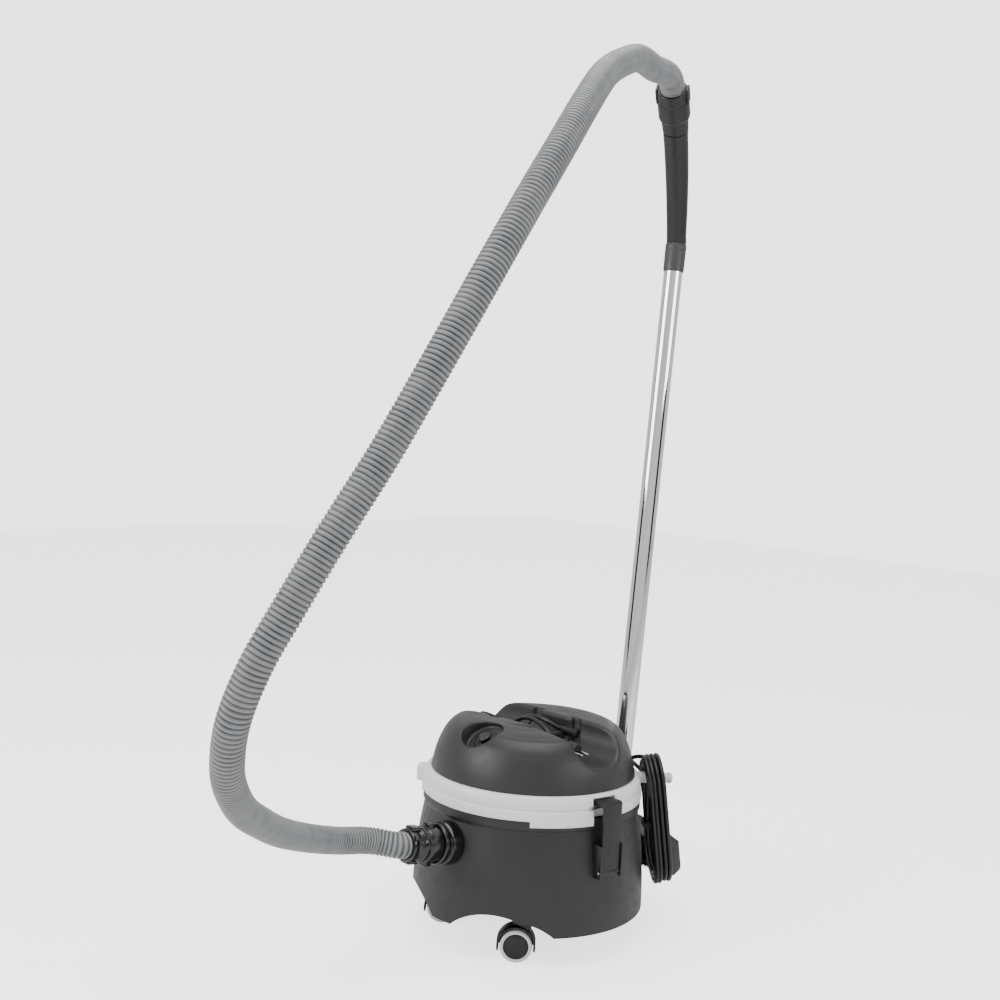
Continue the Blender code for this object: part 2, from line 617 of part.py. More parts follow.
def make_head():
    head = turned("head_shell", dome_points() + [(0, RING_TOP_Z + GAP)], HEAD, HEAD_GREY)
    cavity = turned("head_cavity", dome_points(HEAD_WALL) + [(0, RING_TOP_Z + GAP - 0.0010)], HEAD)
    cut(cavity, trough_cutter("trough_liner", -0.2, 0.2, HEAD_WALL),
        cylinder("dish_liner", DISH_R + HEAD_WALL, -DISH_DEPTH - HEAD_WALL, 0.05, DISH, sides=24))
    dish = cylinder("dish_cutter", DISH_R, -DISH_DEPTH, 0.05, DISH, sides=36)
    deep = [trough_cutter("scoop_right", BAR_HALF, 0.2), trough_cutter("scoop_left", -0.2, -BAR_HALF)]
    saddle = box("saddle", (-BAR_HALF - 0.001, -TROUGH_HALF + 0.006, BAR_TOP_Z),
                 (BAR_HALF + 0.001, TROUGH_HALF - 0.006, HEAD_TOP_Z + 0.02), HEAD)
    tunnel = box("finger_gap", (-BAR_HALF - 0.001, -0.0290, TROUGH_FLOOR_Z + 0.0012),
                 (BAR_HALF + 0.001, 0.0290, BAR_TOP_Z - BAR_T), HEAD)
    plunger_hole = cylinder("plunger_hole", 0.0052, -DISH_DEPTH - 0.02, 0.0, DISH, sides=14)
    cut(head, cavity, dish, *deep, saddle, tunnel, plunger_hole)
    for index in range(5):
        spin = about("Z", 90 + (index - 2) * 8.0)
        slot = box(f"vent_{index}", (HEAD_R - 0.0350, -0.0030, RING_TOP_Z + 0.0085),
                   (HEAD_R + 0.0150, 0.0030, RING_TOP_Z + 0.0385), HEAD)
        slot.matrix_basis = spin
        cut(head, slot)
    return head


make_head()


def make_switch():
    disc_r, stem_r = 0.0098, 0.0045
    floor = -DISH_DEPTH + GAP
    turned("switch_plate", [(stem_r + 0.0010, floor + 0.0022), (0.0185, floor + 0.0022),
                            (0.0195, floor + 0.0012), (0.0195, floor), (stem_r + 0.0010, floor)],
           DISH, BLACK, 24, ring=True)
    top = floor + 0.0022 + 0.0078
    turned("switch_button", [(0, top), (disc_r - 0.0020, top - 0.0003), (disc_r, top - 0.0016),
                             (disc_r, top - 0.0042), (disc_r - 0.0008, top - 0.0046), (stem_r, top - 0.0046),
                             (stem_r, -DISH_DEPTH - 0.0060), (0, -DISH_DEPTH - 0.0060)], DISH, HEAD_GREY, 20)


make_switch()


def make_motor():
    """The deck that carries the motor, the motor's can and rotor, and the cartridge filter below."""
    deck_low, deck_t = TUB_RIM_Z + 0.0020, 0.0040
    deck_top = deck_low + deck_t
    eye_r = 0.0240
    turned("motor_deck", [(eye_r, deck_top), (RING_BORE_R - GAP, deck_top), (RING_BORE_R - GAP, deck_low),
                          (eye_r, deck_low)], HEAD, BLACK, BIG_SIDES, ring=True)
    can_r, can_low, can_top, wall = 0.0660, deck_top + GAP, TROUGH_FLOOR_Z - HEAD_WALL - 0.0030, 0.0025
    can = turned("motor_can", [(0, can_top), (0.0300, can_top), (0.0330, can_top - 0.0020), (0.0330, can_low + 0.0280),
                               (can_r, can_low + 0.0280), (can_r, can_low), (eye_r, can_low),
                               (eye_r, can_low + wall), (can_r - wall, can_low + wall),
                               (can_r - wall, can_low + 0.0280 - wall), (0.0330 - wall, can_low + 0.0280 - wall),
                               (0.0330 - wall, can_top - wall), (0, can_top - wall)], HEAD, STEEL, SMALL_SIDES)
    for index in range(4):
        window = box(f"window_{index}", (can_r - 0.010, -0.0080, can_low + 0.0060),
                     (can_r + 0.010, 0.0080, can_low + 0.0200), HEAD)
        window.matrix_basis = about("Z", 90 * index)
        cut(can, window)
    turned("fan_rotor", [(0, can_top - wall - 0.0015), (0.0040, can_top - wall - 0.0015),
                         (0.0040, can_top - 0.0080), (0.0230, can_top - 0.0080), (0.0230, can_low + 0.0290),
                         (0.0060, can_low + 0.0290), (0.0060, can_low + 0.0210), (0.0560, can_low + 0.0210),
                         (0.0560, can_low + 0.0080), (0.0140, can_low + 0.0050), (0, can_low + 0.0050)],
           HEAD, COPPER, SMALL_SIDES)
    filter_r, filter_low, filter_top = 0.0700, deck_low - 0.0600, deck_low - GAP
    turned("cartridge_filter", [(0, filter_low + 0.0060), (filter_r - 0.0080, filter_low + 0.0060),
                                (filter_r - 0.0080, filter_top), (filter_r + 0.0060, filter_top),
                                (filter_r + 0.0060, filter_top - 0.0050), (filter_r, filter_top - 0.0060),
                                (filter_r, filter_low), (0, filter_low)], HEAD, CLOTH, 32)


make_motor()


# ------------------------------------------------------------------ latches
def make_latch(side, frame):
    pin_r, pin_z = LATCH_PIVOT
    cheek_in = LATCH_HALF + CHEEK_GAP
    cheek_out = cheek_in + CHEEK_T
    bracket = box(f"latch_bracket_{side}", (TUB_NECK_R - 0.0120, -cheek_out, pin_z - 0.0090),
                  (pin_r + 0.0055, cheek_out, pin_z + 0.0420), frame, BLACK)
    room = box(f"latch_room_{side}", (pin_r - 0.0088, -cheek_in, pin_z - 0.0250),
               (pin_r + 0.0285, cheek_in, pin_z + 0.0750), frame)
    pin_hole = cylinder(f"pin_hole_{side}", 0.0022 + GAP, -0.03, 0.03, frame, sides=12,
                        turn=Matrix.Translation((pin_r, 0, pin_z)) @ about("X", 90))
    cut(bracket, room, TUB_SHAPE, pin_hole)
    cylinder(f"latch_pin_{side}", 0.0022, -cheek_out - 0.0006, cheek_out + 0.0006, frame, STEEL, sides=12,
             turn=Matrix.Translation((pin_r, 0, pin_z)) @ about("X", 90))
    swing = empty(f"latch_swing_{side}", frame, (pin_r, 0, pin_z))
    face = 0.0032
    back = face - LATCH_T
    rod_r, rod_z = CATCH_PLACE[0] - pin_r, CATCH_PLACE[1] - pin_z
    top, foot = LATCH_TOP_Z - pin_z, LATCH_FOOT_Z - pin_z
    hook_in = rod_r - CATCH_R - 0.0035
    under, lip = rod_z + CATCH_R + 0.0008, rod_z + CATCH_R - 0.0002
    outline = [(face - 0.0012, foot), (face, foot + 0.0030), (face, top - 0.0030), (face - 0.0030, top),
               (hook_in + 0.0015, top), (hook_in, top - 0.0015), (hook_in, lip), (hook_in + 0.0030, lip),
               (hook_in + 0.0032, under), (back, under), (back, foot)]
    turn = Matrix(((1, 0, 0, 0), (0, 0, 1, 0), (0, 1, 0, 0), (0, 0, 0, 1)))
    lever = plate(f"latch_{side}", [outline], -LATCH_HALF, LATCH_HALF, swing, BLACK, turn=turn)
    eye = cylinder(f"latch_eye_{side}", 0.0022 + GAP, -0.03, 0.03, swing, sides=16, turn=about("X", 90))
    knuckle = cylinder(f"latch_knuckle_{side}", 0.0044, -LATCH_HALF, LATCH_HALF, swing, sides=20,
                       turn=about("X", 90))
    join(lever, knuckle)
    cut(lever, eye)
    return lever


for latch_side, latch_frame in LATCH_FRAMES.items():
    make_latch(latch_side, latch_frame)


# ------------------------------------------------------------------ parking bracket and parked wand
def make_bracket():
    """A back plate on the tub and a fork whose slot takes the nozzle's neck under its collar."""
    half, thick, slot = FORK_SLOT + 0.0088, 0.0100, FORK_SLOT
    fork_outline = ([(half, -0.0480), (half, 0.0180)] + [(slot, 0.0180)] + arc((0, 0), slot, 0, -180, 14)
                    + [(-slot, 0.0180), (-half, 0.0180), (-half, -0.0480)])
    fork = plate("fork", [fork_outline], -thick - GAP, -GAP, WAND)
    wall_y = WAND_FOOT.y - NECK_R - 0.0135
    bracket = box("parking_bracket", (-half - 0.0020, TUB_NECK_R - 0.0120, FLOOR_Z + 0.0360),
                  (half + 0.0020, wall_y + 0.0060, TUB_RIM_Z - 0.0200), MACHINE, BLACK)
    rib_low = WAND_FOOT.z - 0.0200
    ribs = [box(f"rib_{side}", (side * (slot + 0.0050) - 0.0020, wall_y, rib_low),
                (side * (slot + 0.0050) + 0.0020, WAND_FOOT.y - 0.0120, WAND_FOOT.z - 0.0040), MACHINE)
            for side in (1, -1)]
    join(bracket, fork, *ribs)
    cut(bracket, TUB_SHAPE)
    screw_x, upper, lower = half - 0.0055, TUB_RIM_Z - 0.0290, FLOOR_Z + 0.0435
    for index, (x, z) in enumerate(((screw_x, upper), (-screw_x, upper), (screw_x, lower), (-screw_x, lower))):
        level = Matrix.Translation((x, 0, z)) @ about("X", -90)
        cut(bracket, cylinder(f"bracket_hole_{index}", 0.0024, TUB_NECK_R - 0.0220, wall_y + 0.0680, MACHINE,
                              sides=10, turn=level))
        cut(TUB, cylinder(f"tub_hole_{index}", 0.0024, TUB_NECK_R - 0.0220, wall_y + 0.0680, MACHINE,
                          sides=10, turn=level))
        head_at = wall_y + 0.0060 + GAP
        screw = turned(f"bracket_screw_{index + 1}", [
            (0, head_at + 0.0028), (0.0030, head_at + 0.0024), (0.0042, head_at + 0.0008), (0.0042, head_at),
            (0.0020, head_at), (0.0020, TUB_NECK_R - 0.0080), (0, TUB_NECK_R - 0.0080)], MACHINE, STEEL, 10)
        screw.matrix_basis = level
    return bracket


make_bracket()
TUBE_FOOT_S = 0.0440 - TUBE_DEPTH
TUBE_TOP_S = TUBE_FOOT_S + TUBE_LENGTH
SLEEVE_TOP_S = TUBE_TOP_S + 0.0120
PIVOT = empty("nozzle_frame", WAND, (0, 0, -PIVOT_DROP), about("X", WAND_LEAN + NOZZLE_TILT))
HANDLE = empty("handle_frame", WAND, (0, 0, SLEEVE_TOP_S), about("Z", HANDLE_TURN))


def make_wand():
    neck_r, bore, collar_r = NECK_R, TUBE_R + GAP, NECK_R + 0.0065
    neck = turned("nozzle_neck", [
        (bore, 0.0440), (neck_r, 0.0440), (neck_r + 0.0006, 0.0380), (neck_r, 0.0100), (collar_r, 0.0060),
        (collar_r, 0.0), (neck_r, 0.0), (neck_r - 0.0010, 0.0190 - PIVOT_DROP), (0.0145, 0.0150 - PIVOT_DROP),
        (0.0145, -PIVOT_DROP), (0.0115, -PIVOT_DROP), (0.0115, TUBE_FOOT_S - GAP), (bore, TUBE_FOOT_S - GAP)],
        WAND, BLACK, 24, ring=True)
    knuckle = cylinder("neck_knuckle", 0.0140, -0.0190, 0.0190, PIVOT, sides=20, turn=about("Y", 90))
    airway = cylinder("neck_airway", 0.0090, -PIVOT_DROP - 0.02, 0.001, WAND, sides=14)
    join(neck, knuckle)
    cut(neck, airway)
    turned("wand_tube", [(TUBE_R - TUBE_WALL, TUBE_TOP_S), (TUBE_R, TUBE_TOP_S), (TUBE_R, TUBE_FOOT_S),
                         (TUBE_R - TUBE_WALL, TUBE_FOOT_S)], WAND, CHROME, 24, ring=True)
    low = SLEEVE_TOP_S - SLEEVE_LENGTH
    turned("wand_sleeve", [(TUBE_R + GAP, SLEEVE_TOP_S), (TUBE_R + 0.0016, SLEEVE_TOP_S),
                           (TUBE_R + 0.0022, SLEEVE_TOP_S - 0.0040), (TUBE_R + 0.0018, low + 0.0030),
                           (TUBE_R + 0.0012, low), (TUBE_R + GAP, low)],
           WAND, SLEEVE_GREY, 24, ring=True)


make_wand()


def grip_points(count, start=0.0, stop=1.0):
    """Points along the handle, in its own frame: it leaves the wand at one angle and ends at another."""
    first, last = (math.radians(a) for a in GRIP_ENDS)
    radius = GRIP_LENGTH / (last - first)
    points = []
    for step in range(count):
        a = first + (last - first) * (start + (stop - start) * step / (count - 1))
        points.append((radius * (math.cos(first) - math.cos(a)), 0.0, radius * (math.sin(a) - math.sin(first))))
    return points


GRIP_END = Vector(grip_points(2)[-1])
GRIP_WAY = Vector((math.sin(math.radians(GRIP_ENDS[1])), 0.0, math.cos(math.radians(GRIP_ENDS[1]))))
MOUTH = empty("mouth_frame", HANDLE, GRIP_END, along(GRIP_WAY, "X"))


def make_handle():
    count = 11
    thick = [TUBE_R + 0.0006 + 0.0040 * (i / (count - 1)) for i in range(count)]
    path = [Vector(p) for p in grip_points(count, 0.06, 0.84)]
    lead_in = [Vector((0, 0, GAP)), Vector((0, 0, TUBE_R * 0.32))]
    path = lead_in + path
    thick = [TUBE_R + 0.0012, TUBE_R + 0.0010] + thick
    grip = pipe("grip", path, 1.0, HANDLE, BLACK, resolution=4, solid=True, radii=thick)
    socket = turned("grip_socket", [(0, -0.0130), (0.0215, -0.0130), (0.0222, -0.0160), (0.0205, -0.0460),
                                    (0, -0.0460)], MOUTH, sides=24)
    bore_path = [Vector((0, 0, -0.01))] + lead_in + [Vector(p) for p in grip_points(count, 0.06, 0.90)]
    airway = pipe("grip_airway", bore_path, 0.0125, HANDLE, resolution=2, solid=True)
    seat = cylinder("cuff_seat", 0.0190, -0.0460 + 0.0020, 0.001, MOUTH, sides=24)
    join(grip, socket)
    cut(grip, airway, seat)
    return grip


make_handle()


def make_cuff():
    """The hose's upper end: it swivels on the handle's mouth."""
    cuff = turned("hose_cuff", [
        (HOSE_R + GAP, 0.0420), (0.0236, 0.0420), (0.0250, 0.0400), (0.0243, 0.0250), (0.0258, 0.0200),
        (0.0258, -0.0080), (0.0245, -0.0125), (0.0190 - RUN, -0.0125), (0.0190 - RUN, -0.0380),
        (0.0160, -0.0380), (0.0160, 0.0060), (HOSE_R + GAP, 0.0060)], MOUTH, BLACK, 24, ring=True)
    for side in (1, -1):
        ear = box(f"cuff_ear_{side}", (-0.0090, 0.0222, 0.0180), (0.0090, 0.0268, 0.0450), MOUTH, bevel=0.0016)
        ear.matrix_basis = about("Z", 90 - side * 90)
        join(cuff, ear)
    latch_room = box("cuff_recess", (0.0215, -0.0080, 0.0040), (0.0300, 0.0080, 0.0140), MOUTH)
    cut(cuff, latch_room)
    button = box("cuff_button", (0.0215 + BUTTON_TRAVEL + GAP, -0.0075, 0.0045), (0.0275, 0.0075, 0.0135),
                 MOUTH, BLACK, bevel=0.0012)
    return cuff, button


make_cuff()


# ------------------------------------------------------------------ floor nozzle
def make_nozzle():
    """Local +Z points back to the neck, -Y is the sole's side, X is the long way."""
    rear, front = 0.0120, 0.0120 - NOZZLE_DEPTH
    sole, top_rear, top_front = -0.0100, 0.0235, 0.0120
    turn = Matrix(((0, 0, 1, 0), (1, 0, 0, 0), (0, 1, 0, 0), (0, 0, 0, 1)))
    outline = [(sole, rear), (sole, front), (top_front - 0.0040, front), (top_front, front + 0.0050),
               (top_rear, rear - 0.0260), (top_rear, rear - 0.0030), (top_rear - 0.0030, rear)]
    body = plate("nozzle_body", [outline], -NOZZLE_HALF, NOZZLE_HALF, PIVOT, BLACK, turn=turn)
    yoke_room = box("yoke_room", (-0.0205, -0.0300, -0.0165), (0.0205, 0.0400, 0.0400), PIVOT)
    side_cut = []
    for side in (1, -1):
        corner = box(f"corner_{side}", (0.0, -0.05, -0.002), (0.09, 0.05, 0.05), PIVOT)
        corner.matrix_basis = (Matrix.Translation((side * 0.0380, 0, rear + 0.0005)) @ about("Y", 90 - side * 90)
                               @ about("Y", 21.0))
        side_cut.append(corner)
    mouth = box("nozzle_mouth", (-NOZZLE_HALF + 0.0160, sole - 0.001, front + 0.0120),
                (NOZZLE_HALF - 0.0160, 0.0060, front + 0.0290), PIVOT)
    throat = box("nozzle_throat", (-0.0160, -0.0060, front + 0.0200), (0.0160, 0.0110, -0.0100), PIVOT)
    strip_rooms = [box(f"strip_room_{index}", (-NOZZLE_HALF + 0.0080, sole - 0.001, at),
                       (NOZZLE_HALF - 0.0080, sole + 0.0060, at + 0.0042), PIVOT)
                   for index, at in enumerate((front + 0.0040, front + 0.0340))]
    axle_hole = cylinder("pivot_hole", 0.0030 + GAP, -0.0400, 0.0400, PIVOT, sides=16, turn=about("Y", 90))
    pedal_room = box("pedal_room", (-0.0230, 0.0110, front + 0.0150), (0.0230, 0.0300, front + 0.0470), PIVOT)
    cut(body, yoke_room, *side_cut, mouth, throat, *strip_rooms, pedal_room, axle_hole)
    neck = bpy.data.objects["nozzle_neck"]
    cut(neck, cylinder("neck_pin_hole", 0.0030 + GAP, -0.0400, 0.0400, PIVOT, sides=16, turn=about("Y", 90)))
    cylinder("nozzle_pivot_pin", 0.0030, -0.0290, 0.0290, PIVOT, STEEL, sides=16, turn=about("Y", 90))
    for index, at in enumerate((front + 0.0040, front + 0.0340)):
        box(f"brush_strip_{('front', 'rear')[index]}", (-NOZZLE_HALF + 0.0080 + GAP, sole - 0.0040, at + GAP),
            (NOZZLE_HALF - 0.0080 - GAP, sole + 0.0060 - GAP, at + 0.0042 - GAP), PIVOT, BRISTLE)
    hinge_z, hinge_y = front + 0.0310, 0.0165
    rocker = empty("pedal_frame", PIVOT, (0, hinge_y, hinge_z))
    body_pin = cylinder("pedal_pin", 0.0018, -0.0260, 0.0260, rocker, STEEL, sides=14, turn=about("Y", 90))
    cut(body, cylinder("pedal_pin_hole", 0.0018 + GAP, -0.0264, 0.0264, rocker, sides=14, turn=about("Y", 90)))
    pedal_outline = [(-0.0020, -0.0140), (0.0030, -0.0150), (0.0075, -0.0120), (0.0055, 0.0), (0.0075, 0.0120),
                     (0.0030, 0.0145), (-0.0020, 0.0135), (-0.0030, 0.0)]
    pedal = plate("nozzle_pedal", [pedal_outline], -0.0220, 0.0220, rocker, SLEEVE_GREY, turn=turn)
    cut(pedal, cylinder("pedal_bore", 0.0018 + GAP, -0.03, 0.03, rocker, sides=14, turn=about("Y", 90)))
    return body_pin


make_nozzle()


# ------------------------------------------------------------------ hose
HOSE_ROUTE = [
    (-0.020, -0.312, 0.191), (-0.016, -0.378, 0.205), (0.027, -0.479, 0.241), (0.114, -0.599, 0.302),
    (0.188, -0.689, 0.364), (0.240, -0.738, 0.426), (0.270, -0.752, 0.484), (0.291, -0.742, 0.544),
    (0.310, -0.713, 0.611), (0.325, -0.677, 0.680), (0.344, -0.617, 0.782), (0.361, -0.556, 0.893),
    (0.370, -0.488, 1.007), (0.364, -0.430, 1.086), (0.346, -0.366, 1.157), (0.305, -0.276, 1.238),
    (0.256, -0.193, 1.292), (0.212, -0.110, 1.330), (0.165, -0.022, 1.359), (0.132, 0.045, 1.365),
]


def make_hose():
    bpy.context.view_layer.update()
    inlet_way = INLET.matrix_world.to_3x3() @ Vector((0, 0, 1))
    start = INLET.matrix_world @ Vector((0, 0, CONNECTOR_FRONT + 0.0250 + GAP))
    mouth_way = MOUTH.matrix_world.to_3x3() @ Vector((0, 0, 1))
    end = MOUTH.matrix_world @ Vector((0, 0, 0.0060 + GAP))
    route = ([start, start + inlet_way * 0.020, start + inlet_way * 0.040] + [Vector(p) for p in HOSE_ROUTE]
             + [end + mouth_way * 0.045, end + mouth_way * 0.022, end])
    path = smooth_path(route, 52)
    pipe("hose", path, HOSE_R, MACHINE, HOSE_GREY, resolution=3)
    length = sum((b - a).length for a, b in zip(path, path[1:]))
    print("hose length", round(length, 3), "from", tuple(round(c, 4) for c in start),
          "to", tuple(round(c, 4) for c in end))


make_hose()

# ------------------------------------------------------------------ mains cord
GLAND_PLACE = Vector((0.0450, 0.0490, HEAD_TOP_Z - 0.0245))
GLAND_WAY = Vector((-0.62, -0.72, 0.30)).normalized()
GLAND_LENGTH = 0.0260
LEDGE_R = TUB_RIM_R - 0.0065
# The cord's routes over the head: x, y and the height above the head's top.
TAIL_ROUTE = [
    (0.0130, 0.0180, -0.0080), (-0.0080, 0.0150, -0.0040), (-0.0300, 0.0140, -0.0065), (-0.0520, 0.0125, -0.0175),
    (-0.0780, 0.0110, -0.0310), (-0.1050, 0.0115, -0.0375), (-0.1280, 0.0170, -0.0353), (-0.1480, 0.0290, -0.0340),
    (-0.1580, 0.0485, -0.0415), (-0.1535, 0.0730, -0.0545), (-0.1405, 0.0948, -0.0680), (-0.1247, 0.1143, -0.0765),
]
END_ROUTE = [
    (-0.1247, 0.1143, -0.0683), (-0.1420, 0.0958, -0.0593), (-0.1568, 0.0745, -0.0457), (-0.1618, 0.0485, -0.0335),
    (-0.1528, 0.0250, -0.0273), (-0.1300, 0.0088, -0.0321), (-0.1050, 0.0022, -0.0373), (-0.0780, 0.0020, -0.0320),
    (-0.0520, 0.0030, -0.0180), (-0.0300, 0.0035, -0.0080), (-0.0080, 0.0020, -0.0055), (0.0140, -0.0035, -0.0083),
    (0.0350, -0.0075, -0.0155),
]
PLUG_PLACE = Vector((0.0740, -0.0100, HEAD_TOP_Z - 0.0305))
PLUG_WAY = Vector((0.985, -0.02, -0.10)).normalized()


def hank_frame():
    radial = about("Z", HANK_ANGLE)
    return empty("hank_frame", HEAD, radial @ Vector((HANK_PLACE_R, 0, HANK_MID_Z)),
                 radial @ about("Y", -HANK_TILT))


HANK = hank_frame()


def stadium(half_width, half_height, steps):
    """A loop with round ends, its long way up."""
    straight = half_height - half_width
    return (arc((0, straight), half_width, 0, 180, steps) + arc((0, -straight), half_width, 180, 360, steps))


def make_cord():
    gland = turned("cord_gland", [(CORD_R + GAP, GLAND_LENGTH), (0.0050, GLAND_LENGTH), (0.0066, 0.0040),
                                  (0.0085, 0.0030), (0.0085, 0.0), (CORD_R + GAP, 0.0)],
                   HEAD, RUBBER, 16, ring=True)
    gland.matrix_basis = Matrix.Translation(GLAND_PLACE) @ along(GLAND_WAY)
    gland_hole = cylinder("gland_hole", 0.0085 + GAP, -0.0040, 0.0300, HEAD, sides=16)
    gland_hole.matrix_basis = gland.matrix_basis
    cut(bpy.data.objects["head_shell"], gland_hole)
    flat = [(x, y) for x, y in stadium(HANK_HALF_WIDTH, HANK_HALF_HEIGHT, 10)]
    hole = stadium(HANK_HALF_WIDTH - HANK_BUNDLE, HANK_HALF_HEIGHT - HANK_BUNDLE, 10)
    upright = Matrix(((0, 0, 1, 0), (1, 0, 0, 0), (0, 1, 0, 0), (0, 0, 0, 1)))
    plate("cord_hank", [flat, hole], -HANK_T / 2, HANK_T / 2, HANK, CORD_BLACK, turn=upright)

    def port(angle, out):
        """A point off the upper end of the hank, in the head's frame."""
        reach = HANK_HALF_WIDTH + out
        a = math.radians(angle)
        return HANK.matrix_basis @ Vector((0, reach * math.cos(a),
                                           HANK_HALF_HEIGHT - HANK_HALF_WIDTH + reach * math.sin(a)))

    def ledge(height, first, last, step):
        return [Vector((LEDGE_R * math.cos(math.radians(a)), LEDGE_R * math.sin(math.radians(a)), height))
                for a in range(first, last, step)]

    def on_head(route):
        return [Vector((x, y, HEAD_TOP_Z + rise)) for x, y, rise in route]

    on_ring = RING_TOP_Z + CORD_R + GAP
    inside = [GLAND_PLACE + GLAND_WAY * s for s in (0.0020, 0.0140, GLAND_LENGTH, GLAND_LENGTH + 0.0080)]
    tail = (inside + on_head(TAIL_ROUTE) + ledge(on_ring, 129, 76, -9)
            + [port(25, 0.0180), port(25, 0.0005)])
    pipe("cord_tail", smooth_path(tail, 40), CORD_R, HEAD, CORD_BLACK, resolution=2)
    plug_back = PLUG_PLACE - PLUG_WAY * 0.0100
    end = ([port(52, 0.0005), port(52, 0.0180)] + ledge(on_ring + 2 * CORD_R + GAP, 84, 132, 9)
           + on_head(END_ROUTE) + [plug_back - PLUG_WAY * out for out in (0.0140, 0.0070, 0.0008)])
    pipe("cord_end", smooth_path(end, 40), CORD_R, HEAD, CORD_BLACK, resolution=2)


make_cord()


def make_plug():
    """A two-pin mains plug lying in the right-hand scoop."""
    frame = empty("plug_frame", HEAD, PLUG_PLACE, along(PLUG_WAY, "Y"))
    plug = turned("cord_plug", [(0, 0.0300), (0.0105, 0.0300), (0.0120, 0.0285), (0.0120, 0.0120), (0.0065, 0.0),
                                (0.0048, -0.0100), (0, -0.0100)], frame, BLACK, 16)
    for side in (1, -1):
        pin = cylinder(f"plug_pin_{side}", 0.0020, 0.0250, 0.0480, frame, sides=8, place=(side * 0.0065, 0))
        join(plug, pin)
    return plug


make_plug()


def make_tie():
    """A strap round the hank's outer run."""
    y, z, wide = HANK_HALF_WIDTH - HANK_BUNDLE / 2, -0.0200, 0.0090
    inner_y, inner_x, thick = HANK_BUNDLE / 2 + GAP, HANK_T / 2 + GAP, 0.0016
    outer = [(-inner_x - thick, -inner_y - thick), (inner_x + thick, -inner_y - thick),
             (inner_x + thick, inner_y + thick), (-inner_x - thick, inner_y + thick)]
    inner = [(-inner_x, -inner_y), (inner_x, -inner_y), (inner_x, inner_y), (-inner_x, inner_y)]
    plate("hank_tie", [outer, inner], z - wide / 2, z + wide / 2, HANK, BLACK, turn=Matrix.Translation((0, y, 0)))


make_tie()


# ------------------------------------------------------------------ origin at the middle of the footprint
CORD_NODES = {"hose", "cord_tail", "cord_end", "cord_hank", "cord_plug", "hank_tie"}


def centre_on_floor():
    bpy.context.view_layer.update()
    graph = bpy.context.evaluated_depsgraph_get()
    low, high = Vector((1e9,) * 3), Vector((-1e9,) * 3)
    for obj in PARTS.objects:
        if obj.type == "EMPTY" or obj.name in CORD_NODES:
            continue
        shape = obj.evaluated_get(graph)
        mesh = shape.to_mesh()
        for vertex in mesh.vertices:
            at = shape.matrix_world @ vertex.co
            low = Vector(map(min, low, at))
            high = Vector(map(max, high, at))
        shape.to_mesh_clear()
    MACHINE.location = (-(low.x + high.x) / 2, -(low.y + high.y) / 2, -low.z)
    bpy.context.view_layer.update()
    print("tub axis at", tuple(round(c, 5) for c in MACHINE.location))


centre_on_floor()
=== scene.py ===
# %% [markdown]
# # A tub vacuum cleaner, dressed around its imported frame
# The machine has a dark moulded tub on swivel casters, a pale ring under a domed motor head, a corrugated
# hose and a chrome wand parked upright behind. The frame holds every real size and every joint. Each step
# below makes one visible piece with finer shape and finish than the frame's plain solid, puts it in the
# same place, and says which body it rides on.

# %% Load the frame and keep its box
import json
import math

import bmesh
import bpy
import numpy as np
from mathutils import Matrix, Vector


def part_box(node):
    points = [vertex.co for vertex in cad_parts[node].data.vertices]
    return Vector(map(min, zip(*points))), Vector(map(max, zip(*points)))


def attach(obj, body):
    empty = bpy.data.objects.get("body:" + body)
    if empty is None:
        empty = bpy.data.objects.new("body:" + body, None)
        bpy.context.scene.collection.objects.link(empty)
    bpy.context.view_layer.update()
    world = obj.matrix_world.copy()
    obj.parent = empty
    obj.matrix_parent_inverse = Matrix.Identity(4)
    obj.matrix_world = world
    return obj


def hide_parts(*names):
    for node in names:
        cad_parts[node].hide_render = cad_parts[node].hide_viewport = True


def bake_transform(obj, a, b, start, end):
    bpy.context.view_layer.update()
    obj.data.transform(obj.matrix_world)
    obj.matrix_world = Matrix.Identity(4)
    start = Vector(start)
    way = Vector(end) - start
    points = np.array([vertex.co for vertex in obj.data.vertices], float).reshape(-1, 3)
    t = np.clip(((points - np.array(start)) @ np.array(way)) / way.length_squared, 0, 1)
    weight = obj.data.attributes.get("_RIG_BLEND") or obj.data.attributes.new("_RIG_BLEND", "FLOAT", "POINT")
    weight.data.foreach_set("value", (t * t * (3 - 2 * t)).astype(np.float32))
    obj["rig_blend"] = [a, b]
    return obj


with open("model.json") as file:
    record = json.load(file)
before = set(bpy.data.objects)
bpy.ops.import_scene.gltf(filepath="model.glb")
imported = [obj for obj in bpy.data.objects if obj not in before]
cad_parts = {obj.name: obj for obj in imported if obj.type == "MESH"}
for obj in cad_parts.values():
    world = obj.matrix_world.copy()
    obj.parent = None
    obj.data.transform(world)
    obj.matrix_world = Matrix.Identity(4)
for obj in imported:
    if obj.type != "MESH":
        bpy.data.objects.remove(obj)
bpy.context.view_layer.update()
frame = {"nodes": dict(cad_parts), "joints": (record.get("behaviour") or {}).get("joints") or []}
JOINTS = {joint["name"]: joint for joint in frame["joints"]}
low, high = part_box("motor_deck")
AXIS = Vector(((low.x + high.x) / 2, (low.y + high.y) / 2, 0.0))
print("the tub's axis stands at", tuple(round(c, 4) for c in AXIS))

# %% [markdown]
# ## Where things are
# A joint's place and axis give the axis system of the pieces that turn about it, so nothing is fitted by
# eye. Each system below is a matrix whose Z runs along the piece, as a maker would set the work up on a
# bench.

# %% Axis systems from the joints


def spot(joint):
    return Vector(JOINTS[joint]["pos_m"])


def way(joint):
    return Vector(JOINTS[joint]["axis"]).normalized()


